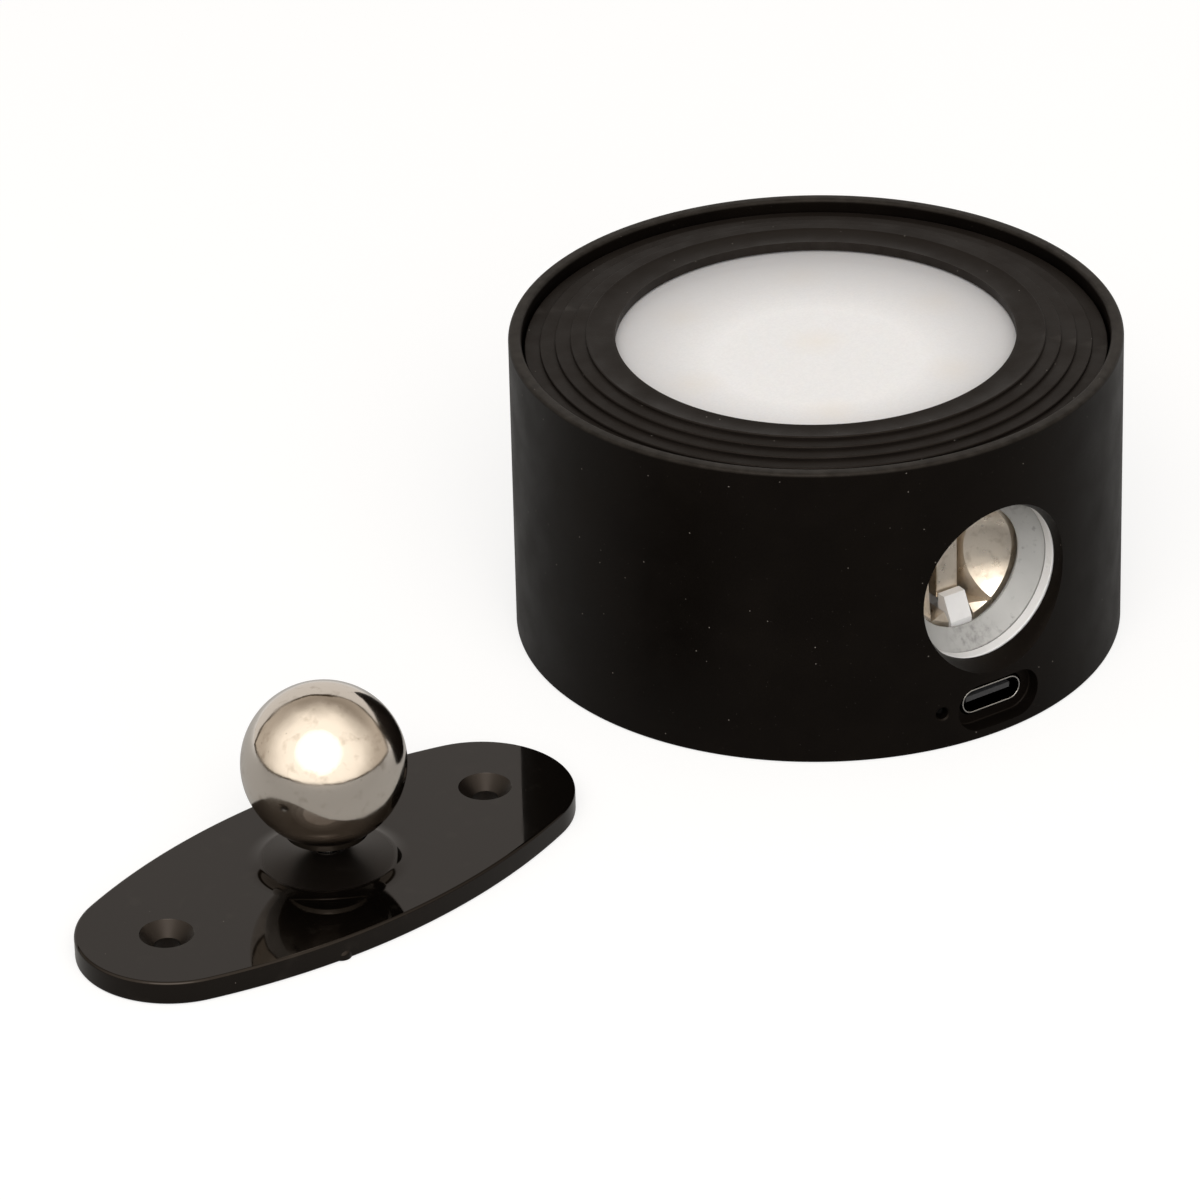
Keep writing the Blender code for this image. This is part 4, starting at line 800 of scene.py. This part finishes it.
def cut_socket(housing):
    cut(housing, rod(
        "socket_seat", RING_RADIUS + GAP, SOCKET_PAD_BACK - OVERRUN, SOCKET_SEAT_REACH, SOCKET_STEPS,
        parent=SOCKET,
    ))
    flare = HOLE_RADIUS + HOLE_FLARE * (1 + OVERRUN / HOLE_FLARE_DEPTH)
    mouth = [
        (0, LAMP_RADIUS + OVERRUN),
        (flare, LAMP_RADIUS + OVERRUN),
        (HOLE_RADIUS, LAMP_RADIUS - HOLE_FLARE_DEPTH),
        (HOLE_RADIUS, SOCKET_SEAT_REACH - OVERRUN),
        (0, SOCKET_SEAT_REACH - OVERRUN),
    ]
    cut(housing, turned("socket_mouth", mouth, SOCKET_STEPS, parent=SOCKET))


def cut_port(housing):
    pocket = obround(PORT_POCKET_WIDTH, PORT_POCKET_HEIGHT)
    cut(housing, rounded(prism(
        "port_pocket", pocket, PORT_FACE_REACH - GAP, LAMP_RADIUS + OVERRUN, parent=PORT
    ), HOLE_EDGE_ROUND))
    opening = obround(PORT_WIDTH + 2 * GAP, PORT_THICKNESS + 2 * GAP)
    cut(housing, prism("port_opening", opening, PORT_PAD_BACK - OVERRUN, LAMP_RADIUS, parent=PORT))


def cut_indicator_hole(housing):
    hole = [
        (0, LAMP_RADIUS + OVERRUN),
        (INDICATOR_HOLE_RADIUS + HOLE_EDGE_ROUND + OVERRUN, LAMP_RADIUS + OVERRUN),
        (INDICATOR_HOLE_RADIUS, LAMP_RADIUS - HOLE_EDGE_ROUND),
        (INDICATOR_HOLE_RADIUS, HOUSING_INNER - OVERRUN),
        (0, HOUSING_INNER - OVERRUN),
    ]
    cut(housing, turned("indicator_hole", hole, SMALL_STEPS, parent=INDICATOR))


def make_housing(material):
    housing = turned("housing_shell", housing_profile(), DRUM_STEPS)
    add_inner_pads(housing)
    cut_socket(housing)
    cut_port(housing)
    cut_indicator_hole(housing)
    stand_for(housing, material, "black_plastic", "lamp", "housing", flat_faces=False)
    smooth_side(housing.data)


def smooth_side(mesh):
    """Truly round shading on the drum's side, which its openings cut into uneven faces."""
    normals = [(0, 0, 0)] * len(mesh.loops)
    for face in mesh.polygons:
        corners = [mesh.vertices[i].co for i in face.vertices]
        if all(abs(math.hypot(co.x, co.y) - LAMP_RADIUS) < SIDE_MARGIN for co in corners):
            for loop, co in zip(face.loop_indices, corners):
                normals[loop] = (co.x / LAMP_RADIUS, co.y / LAMP_RADIUS, 0)
    mesh.normals_split_custom_set(normals)


def make_socket_ring(material):
    inner = RING_RADIUS - RING_WALL
    lip_back = RING_FRONT - RING_LIP
    profile = [
        (RING_RADIUS, RING_FRONT),
        (RING_RADIUS, RING_BACK),
        (inner, RING_BACK),
        (inner, lip_back),
        (HOLE_RADIUS, lip_back),
        *arc(
            HOLE_RADIUS + RING_ROUND, RING_FRONT - RING_ROUND, RING_ROUND, math.pi, math.pi / 2,
            ROUND_STEPS,
        ),
    ]
    ring = turned("socket_ring_face", profile, SOCKET_STEPS, closed=True, parent=SOCKET)
    stand_for(ring, material, "white_plastic", "lamp", "socket_ring")


def make_grip_ring(material):
    outer = GRIP_HIGH.x
    front, back = -GRIP_LOW.y - GRIP_SETBACK, -GRIP_HIGH.y
    profile = [
        (outer, front),
        (outer, back),
        (GRIP_THROAT + RING_ROUND, back),
        (GRIP_THROAT, back + RING_ROUND),
        (GRIP_THROAT, back + GRIP_EDGE),
        (outer - GRIP_WALL, front - RING_ROUND),
        (outer - GRIP_WALL + RING_ROUND, front),
    ]
    ring = turned("grip_cone", profile, SOCKET_STEPS, closed=True, parent=SOCKET)
    stand_for(ring, material, "grey_silicone", "lamp", "grip_ring")


def make_pole_shoe(name, side, material):
    radius = (SHOE_HIGH.z - SHOE_LOW.z) / 2
    front, back = -SHOE_LOW.y, -SHOE_HIGH.y
    shoe = rod(f"shoe_{name}", radius, back, front, SOCKET_STEPS, parent=SOCKET)
    wall = MAGNET_HIGH.x + GAP
    far = -side * (radius + OVERRUN)
    start = DOCKED_REACH - BALL_RADIUS - DISH_SLACK - SHOE_BEVEL_DEPTH
    end = front + OVERRUN
    spread = (end - start) * SHOE_BEVEL_WIDTH / SHOE_BEVEL_DEPTH
    channel = [(far, back - OVERRUN), (side * wall, back - OVERRUN), (side * wall, end), (far, end)]
    bevel = [(far, start), (side * wall, start), (side * (wall + spread), end), (far, end)]
    for part, outline, span in (
        ("channel", channel, radius + OVERRUN),
        ("bevel", bevel, SHOE_BEVEL_SPAN),
    ):
        cut(shoe, prism(
            f"shoe_{part}_{name}", outline, -span, span, parent=SOCKET, turn=(OUTWARDS, 0, 0)
        ))
    half_turn = arc(0, 0, BALL_RADIUS + DISH_SLACK, math.pi / 2, -math.pi / 2, SOCKET_STEPS // 2)
    half_turn[0], half_turn[-1] = (0, BALL_RADIUS + DISH_SLACK), (0, -BALL_RADIUS - DISH_SLACK)
    dish = turned(
        f"shoe_dish_{name}", half_turn, SOCKET_STEPS, parent=SOCKET, place=(0, 0, DOCKED_REACH)
    )
    cut(shoe, dish)
    stand_for(shoe, material, "nickel", "lamp", f"pole_shoe_{name}")


def make_magnet(material):
    low = (MAGNET_LOW.x, MAGNET_LOW.z, -MAGNET_HIGH.y)
    high = (MAGNET_HIGH.x, MAGNET_HIGH.z, -MAGNET_LOW.y)
    magnet = block("magnet_strip", low, high, turn=(OUTWARDS, 0, 0))
    rounded(magnet, MAGNET_ROUND)
    stand_for(magnet, material, "nickel", "lamp", "magnet")


def make_port(shell_material, tongue_material):
    front, back = PORT_FACE_REACH, -SHELL_HIGH.y
    shell = prism("port_shell", obround(PORT_WIDTH, PORT_THICKNESS), back, front, parent=PORT)
    bore = obround(PORT_WIDTH - 2 * PORT_WALL, PORT_THICKNESS - 2 * PORT_WALL)
    cut(shell, prism("port_bore", bore, back - OVERRUN, front + OVERRUN, parent=PORT))
    rounded(shell, PORT_ROUND)
    stand_for(shell, shell_material, "steel", "lamp", "usb_shell")
    repaint(["usb_tongue"], tongue_material)


def make_bezel(material):
    outer = HOUSING_INNER - BEZEL_GAP
    crest = outer - RING_COUNT * RING_PITCH
    lip = outer - BEZEL_WIDTH
    edge = LAMP_HEIGHT - BEZEL_DROP
    underside = edge - BEZEL_THICKNESS
    step = BEZEL_DROP / RING_COUNT
    profile = [(lip, LAMP_HEIGHT - LIP_DROP)]
    for i in range(1, COVE_STEPS):
        share = i / COVE_STEPS
        radius = lip + (crest - lip) * share
        height = LAMP_HEIGHT - LIP_DROP * (1 - share) - COVE_DEPTH * math.sin(math.pi * share)
        profile.append((radius, height))
    for i in range(RING_COUNT + 1):
        radius = crest + i * RING_PITCH - RISER_ROUND
        height = LAMP_HEIGHT - i * step
        profile += arc(radius, height - RISER_ROUND, RISER_ROUND, math.pi / 2, 0, ROUND_STEPS)
        if i < RING_COUNT:
            profile.append((crest + i * RING_PITCH, height - step))
    profile += [
        (outer, edge - SKIRT_HEIGHT),
        (outer - SKIRT_WALL, edge - SKIRT_HEIGHT),
        (outer - SKIRT_WALL, underside),
        (DIFFUSER_HIGH.x + GAP, underside),
        (DIFFUSER_HIGH.x + GAP, DIFFUSER_HIGH.z + GAP),
        (lip, DIFFUSER_HIGH.z + GAP),
    ]
    bezel = turned("bezel_ring", profile, DRUM_STEPS, closed=True)
    stand_for(bezel, material, "bezel_plastic", "lamp", "bezel")


def make_diffuser(material):
    radius, top, bottom = DIFFUSER_HIGH.x, DIFFUSER_HIGH.z, DIFFUSER_LOW.z
    profile = [
        (0, top),
        *arc(radius - DIFFUSER_ROUND, top - DIFFUSER_ROUND, DIFFUSER_ROUND, math.pi / 2, 0, ROUND_STEPS),
        (radius, bottom),
        (0, bottom),
    ]
    diffuser = turned("diffuser_lens", profile, DRUM_STEPS)
    stand_for(diffuser, material, "opal", "lamp", "diffuser")


def plate_side_centre():
    swing = PLATE_SIDE_RADIUS - PLATE_END_RADIUS
    return math.sqrt(swing**2 - PLATE_END_OFFSET**2)


def plate_outline():
    """Two flat side arcs that run into two round ends."""
    back = plate_side_centre()
    lean = math.atan2(PLATE_END_OFFSET, back)
    near, far = math.pi / 2 - lean, math.pi / 2 + lean
    upper = (0, -back, PLATE_SIDE_RADIUS, near, far, OUTLINE_STEPS)
    left = (-PLATE_END_OFFSET, 0, PLATE_END_RADIUS, far, math.tau - far, OUTLINE_STEPS)
    lower = (0, back, PLATE_SIDE_RADIUS, math.pi + near, math.pi + far, OUTLINE_STEPS)
    right = (PLATE_END_OFFSET, 0, PLATE_END_RADIUS, -near, near, OUTLINE_STEPS)
    return [point for piece in (upper, left, lower, right) for point in arc(*piece)[:-1]]


def boss_slope():
    """The boss's side: it flares from the neck to a skirt, and a small cove runs out into the plate."""
    slope = []
    for i in range(BOSS_STEPS + 1):
        left = 1 - i / BOSS_STEPS
        fall = (1 - NECK_SHARE) * left**BOSS_CURVE + NECK_SHARE * left**NECK_CURVE
        radius = BOSS_TOP_RADIUS + (BOSS_SKIRT_RADIUS - BOSS_TOP_RADIUS) * i / BOSS_STEPS
        height = BOSS_SKIRT_HEIGHT + (BOSS_HEIGHT - BOSS_SKIRT_HEIGHT) * fall
        slope.append((radius, PLATE_THICKNESS + height))
    for i in range(1, COVE_STEPS + 1):
        share = i / COVE_STEPS
        radius = BOSS_SKIRT_RADIUS + (BOSS_BASE_RADIUS - BOSS_SKIRT_RADIUS) * share
        height = BOSS_EDGE + (BOSS_SKIRT_HEIGHT - BOSS_EDGE) * (1 - share)**BOSS_COVE_CURVE
        slope.append((radius, PLATE_THICKNESS + height))
    return slope


def add_gate(plate):
    """The moulding nub low on the plate's front edge."""
    edge = plate_side_centre() - math.sqrt(PLATE_SIDE_RADIUS**2 - GATE_SIDE**2)
    low = -math.asin((GATE_HEIGHT - GATE_LIFT) / GATE_RADIUS)
    dome = [*arc(0, GATE_HEIGHT, GATE_RADIUS, math.pi / 2, low, COVE_STEPS), (0, GATE_LIFT)]
    dome[0] = (0, GATE_HEIGHT + GATE_RADIUS)
    join(plate, turned(
        "plate_gate", dome, SMALL_STEPS, parent=BRACKET, place=(-GATE_SIDE, edge + GATE_INSET, 0)
    ))


def cut_screw_holes(plate):
    hole = [
        (0, PLATE_THICKNESS + OVERRUN),
        (PLATE_SINK_RADIUS + SINK_EDGE + OVERRUN, PLATE_THICKNESS + OVERRUN),
        (PLATE_SINK_RADIUS + SINK_EDGE, PLATE_THICKNESS),
        (PLATE_SINK_RADIUS, PLATE_THICKNESS - SINK_EDGE),
        (PLATE_HOLE_RADIUS, PLATE_THICKNESS - PLATE_SINK_DEPTH),
        (PLATE_HOLE_RADIUS, -OVERRUN),
        (0, -OVERRUN),
    ]
    for name, side in (("left", -1), ("right", 1)):
        place = (side * PLATE_HOLE_SPACING / 2, 0, 0)
        cut(plate, turned(f"plate_hole_{name}", hole, HOLE_STEPS, parent=BRACKET, place=place))


def cut_stud_bore(plate):
    """The bore for the ball's screw, sunk for its head from below."""
    clear = STUD_RADIUS + STUD_SLACK
    widen = (STUD_HEAD_RADIUS - STUD_RADIUS) / STUD_HEAD_DEPTH
    level = GAP + STUD_HEAD_DEPTH + STUD_SLACK
    bore = [
        (0, BOSS_TOP + OVERRUN),
        (clear, BOSS_TOP + OVERRUN),
        (clear, level),
        (clear + widen * (level + OVERRUN), -OVERRUN),
        (0, -OVERRUN),
    ]
    cut(plate, turned("stud_bore", bore, HOLE_STEPS, parent=BRACKET))


def make_bracket_plate(material):
    plate = rounded(
        prism("bracket_plate_shell", plate_outline(), 0, PLATE_THICKNESS, parent=BRACKET),
        PLATE_ROUND, PLATE_ROUND_SEGMENTS,
    )
    foot = PLATE_THICKNESS - ROOT
    boss = [(0, BOSS_TOP), *boss_slope(), (BOSS_BASE_RADIUS, foot), (0, foot)]
    join(plate, turned("bracket_boss", boss, BALL_STEPS, parent=BRACKET))
    add_gate(plate)
    cut_screw_holes(plate)
    cut_stud_bore(plate)
    stand_for(plate, material, "glossy_black", "plate", "bracket_plate")


def make_ball(material):
    """The ball with the seat turned under it, in one profile, bored for its screw."""
    seat = -BALL_RADIUS + COLLAR_LIFT
    meet = -math.acos(COLLAR_RADIUS / BALL_RADIUS)
    bore = STUD_RADIUS + STUD_SLACK
    depth = seat + STUD_GRIP + GAP
    profile = [
        *arc(0, 0, BALL_RADIUS, math.pi / 2, meet, BALL_STEPS // 2),
        *arc(
            COLLAR_RADIUS - COLLAR_ROUND, seat + COLLAR_ROUND, COLLAR_ROUND, 0, -math.pi / 2,
            ROUND_STEPS,
        ),
        (bore, seat),
        (bore, depth),
        (0, depth),
    ]
    profile[0] = (0, BALL_RADIUS)
    ball = turned(
        "polished_ball", profile, BALL_STEPS, parent=BRACKET, place=(0, 0, BALL_HEIGHT)
    )
    stand_for(ball, material, "nickel", "ball", "ball")


def repaint(names, material):
    """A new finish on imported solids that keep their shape."""
    for name in names:
        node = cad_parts[name]
        node.data.materials.clear()
        node.data.materials.append(material)


def paint_inside():
    screws = [*numbered("bezel_screw", BEZEL_SCREW_TOTAL), *numbered("board_screw", BOARD_SCREW_TOTAL)]
    for name in ("holder_screw", "led_board_screw"):
        screws += [f"{name}_{side}" for side in ("left", "right")]
    repaint([*screws, "ball_screw"], bright_steel())
    repaint(["indicator_pipe"], smoked_lens())
    for name, colour, roughness, metallic, nodes in INNER_FINISHES:
        repaint(nodes, inner_finish(name, colour, roughness, metallic))


def make_camera():
    data = bpy.data.cameras.new("camera")
    data.sensor_width = SENSOR_WIDTH_MM
    data.lens = LENS_MM
    data.clip_start = CLIP_START
    camera = add_object("camera", data)
    turns = Matrix.Rotation(math.radians(CAMERA_HEADING_DEG), 4, "Z")
    turns @= Matrix.Rotation(math.radians(90 - CAMERA_TILT_DEG), 4, "X")
    turns @= Matrix.Rotation(math.radians(CAMERA_ROLL_DEG), 4, "Z")
    camera.matrix_world = Matrix.Translation(CAMERA_PLACE) @ turns
    bpy.context.scene.camera = camera


def make_panel(name, watts, colour, width, height, distance, heading_deg, rise_deg):
    """A large soft lamp that faces the object from a heading, turned round Z from -Y, and a rise."""
    data = bpy.data.lights.new(name, "AREA")
    data.shape = "ELLIPSE"
    data.size = width
    data.size_y = height
    data.energy = watts
    data.color = colour
    away = direction_to(heading_deg, rise_deg)
    light = add_object(name, data)
    light.location = distance * away
    light.rotation_mode = "QUATERNION"
    light.rotation_quaternion = away.to_track_quat("Z", "Y")
    return light


def direction_to(heading_deg, rise_deg):
    heading, rise = math.radians(heading_deg), math.radians(rise_deg)
    return Vector((
        math.sin(heading) * math.cos(rise), -math.cos(heading) * math.cos(rise), math.sin(rise)
    ))


def make_lights():
    """A softbox whose light falls off towards its edge, and a fill that no gloss mirrors."""
    for number, (width, height, watts) in enumerate(SOFTBOX_STEPS, 1):
        make_panel(
            f"softbox_{number}", watts, SOFTBOX_COLOUR, width, height, SOFTBOX_DISTANCE,
            SOFTBOX_HEADING_DEG, SOFTBOX_RISE_DEG,
        )
    fill = make_panel(
        "fill", FILL_WATTS, (1, 1, 1), FILL_SIZE, FILL_SIZE, FILL_DISTANCE, FILL_HEADING_DEG,
        FILL_RISE_DEG,
    )
    fill.visible_glossy = False


def make_world():
    """White to the camera, and an even grey for soft light. What is polished mirrors a pale backdrop
    behind, a warm room in front that darkens upwards, and a glow round the softbox."""
    world = bpy.data.worlds.new("studio")
    bpy.context.scene.world = world
    world.use_nodes = True
    tree = world.node_tree
    tree.nodes.clear()
    link = tree.links.new
    direction = tree.nodes.new("ShaderNodeTexCoord").outputs["Generated"]
    heading = Matrix.Rotation(math.radians(CAMERA_HEADING_DEG), 3, "Z")

    def towards(aim):
        node = tree.nodes.new("ShaderNodeVectorMath")
        node.operation = "DOT_PRODUCT"
        link(direction, node.inputs[0])
        node.inputs[1].default_value = aim
        return node.outputs["Value"]

    def share(value, low, high):
        node = tree.nodes.new("ShaderNodeMapRange")
        node.interpolation_type = "SMOOTHSTEP"
        node.inputs["From Min"].default_value = low
        node.inputs["From Max"].default_value = high
        link(value, node.inputs["Value"])
        return node.outputs["Result"]

    def blend(factor, first, second):
        node = tree.nodes.new("ShaderNodeMix")
        node.data_type = "RGBA"
        link(factor, node.inputs["Factor"])
        for socket, colour in ((node.inputs["A"], first), (node.inputs["B"], second)):
            if isinstance(colour, tuple):
                socket.default_value = (*colour, 1)
            else:
                link(colour, socket)
        return node.outputs["Result"]

    mottle = tree.nodes.new("ShaderNodeTexNoise")
    mottle.inputs["Scale"].default_value = MOTTLE_SCALE
    link(direction, mottle.inputs["Vector"])

    def uneven(value, amount):
        node = tree.nodes.new("ShaderNodeMath")
        node.operation = "MULTIPLY_ADD"
        link(mottle.outputs["Fac"], node.inputs[0])
        node.inputs[1].default_value = amount
        link(value, node.inputs[2])
        return node.outputs["Value"]

    glow = uneven(towards(direction_to(SOFTBOX_HEADING_DEG, SOFTBOX_RISE_DEG)), MOTTLE_SHARE)
    shift = MOTTLE_SHARE / 2
    room = blend(share(towards((0, 0, 1)), ROOM_FOOT, ROOM_TOP), ROOM_COLOUR, CEILING_COLOUR)
    room = blend(share(glow, GLOW_EDGE + shift, GLOW_CORE + shift), room, GLOW_COLOUR)
    lean = towards(heading @ Vector(BACKDROP_LEAN).normalized())
    seam_foot = BACKDROP_EDGE - 2 * SEAM_WIDTH + SEAM_WAVE / 2
    seam = share(uneven(lean, SEAM_WAVE), seam_foot, seam_foot + SEAM_WIDTH)
    room = blend(share(towards((0, 0, 1)), HORIZON_LOW, HORIZON_HIGH), SEAM_COLOUR, room)
    behind = share(lean, BACKDROP_EDGE, BACKDROP_EDGE + SEAM_WIDTH)
    mirrored = blend(behind, blend(seam, room, SEAM_COLOUR), BACKDROP_COLOUR)

    path = tree.nodes.new("ShaderNodeLightPath")
    seen = blend(path.outputs["Is Glossy Ray"], STUDIO_COLOUR, mirrored)
    seen = blend(path.outputs["Is Camera Ray"], seen, (1.0, 1.0, 1.0))
    background = tree.nodes.new("ShaderNodeBackground")
    link(seen, background.inputs["Color"])
    link(background.outputs["Background"], tree.nodes.new("ShaderNodeOutputWorld").inputs["Surface"])


def make_floor():
    """A pale floor that keeps the shadow and looks white where it is open."""
    material = bpy.data.materials.new("pale_floor")
    material.use_nodes = True
    tree = material.node_tree
    tree.nodes.clear()
    link = tree.links.new
    diffuse = tree.nodes.new("ShaderNodeBsdfDiffuse")
    diffuse.inputs["Color"].default_value = (*FLOOR_COLOUR, 1)
    glow = tree.nodes.new("ShaderNodeEmission")
    path = tree.nodes.new("ShaderNodeLightPath")
    back = tree.nodes.new("ShaderNodeVectorMath")
    back.operation = "DOT_PRODUCT"
    link(tree.nodes.new("ShaderNodeTexCoord").outputs["Object"], back.inputs[0])
    back.inputs[1].default_value = -direction_to(CAMERA_HEADING_DEG, 0)
    gloss = tree.nodes.new("ShaderNodeMapRange")
    for name, value in (
        ("From Min", FLOOR_NEAR),
        ("From Max", FLOOR_FAR),
        ("To Min", FLOOR_GLOSS_NEAR),
        ("To Max", FLOOR_GLOSS_FAR),
    ):
        gloss.inputs[name].default_value = value
    link(back.outputs["Value"], gloss.inputs["Value"])
    mirrored = tree.nodes.new("ShaderNodeMath")
    mirrored.operation = "MULTIPLY"
    link(gloss.outputs["Result"], mirrored.inputs[0])
    link(path.outputs["Is Glossy Ray"], mirrored.inputs[1])
    strength = tree.nodes.new("ShaderNodeMix")
    link(path.outputs["Is Camera Ray"], strength.inputs["Factor"])
    link(mirrored.outputs["Value"], strength.inputs["A"])
    strength.inputs["B"].default_value = FLOOR_GLOW
    link(strength.outputs["Result"], glow.inputs["Strength"])
    total = tree.nodes.new("ShaderNodeAddShader")
    link(diffuse.outputs["BSDF"], total.inputs[0])
    link(glow.outputs["Emission"], total.inputs[1])
    link(total.outputs["Shader"], tree.nodes.new("ShaderNodeOutputMaterial").inputs["Surface"])
    half = FLOOR_SIZE / 2
    mesh = bpy.data.meshes.new("floor")
    corners = [(-half, -half), (half, -half), (half, half), (-half, half)]
    mesh.from_pydata([(x, y, -FLOOR_DROP) for x, y in corners], [], [(0, 1, 2, 3)])
    mesh.materials.append(material)
    add_object("floor", mesh)


bpy.context.scene.view_settings.view_transform = "Standard"
make_camera()
make_lights()
make_world()
make_floor()

white, nickel = white_plastic(), plated_steel()
make_housing(matte_black())
make_socket_ring(white)
make_grip_ring(grey_silicone())
for shoe_name, shoe_side in (("left", -1), ("right", 1)):
    make_pole_shoe(shoe_name, shoe_side, nickel)
make_magnet(nickel)
make_port(port_steel(), inner_finish("port_black", (0.050, 0.050, 0.052), 0.36))
make_bezel(bezel_black())
make_diffuser(opal())
make_bracket_plate(glossy_black())
make_ball(polished_nickel())
repaint(["magnet_holder", "reflector", "battery_plug", "light_plug"], white)
paint_inside()

for tool_name in sorted(TOOLS):
    bpy.data.objects.remove(bpy.data.objects[tool_name], do_unlink=True)
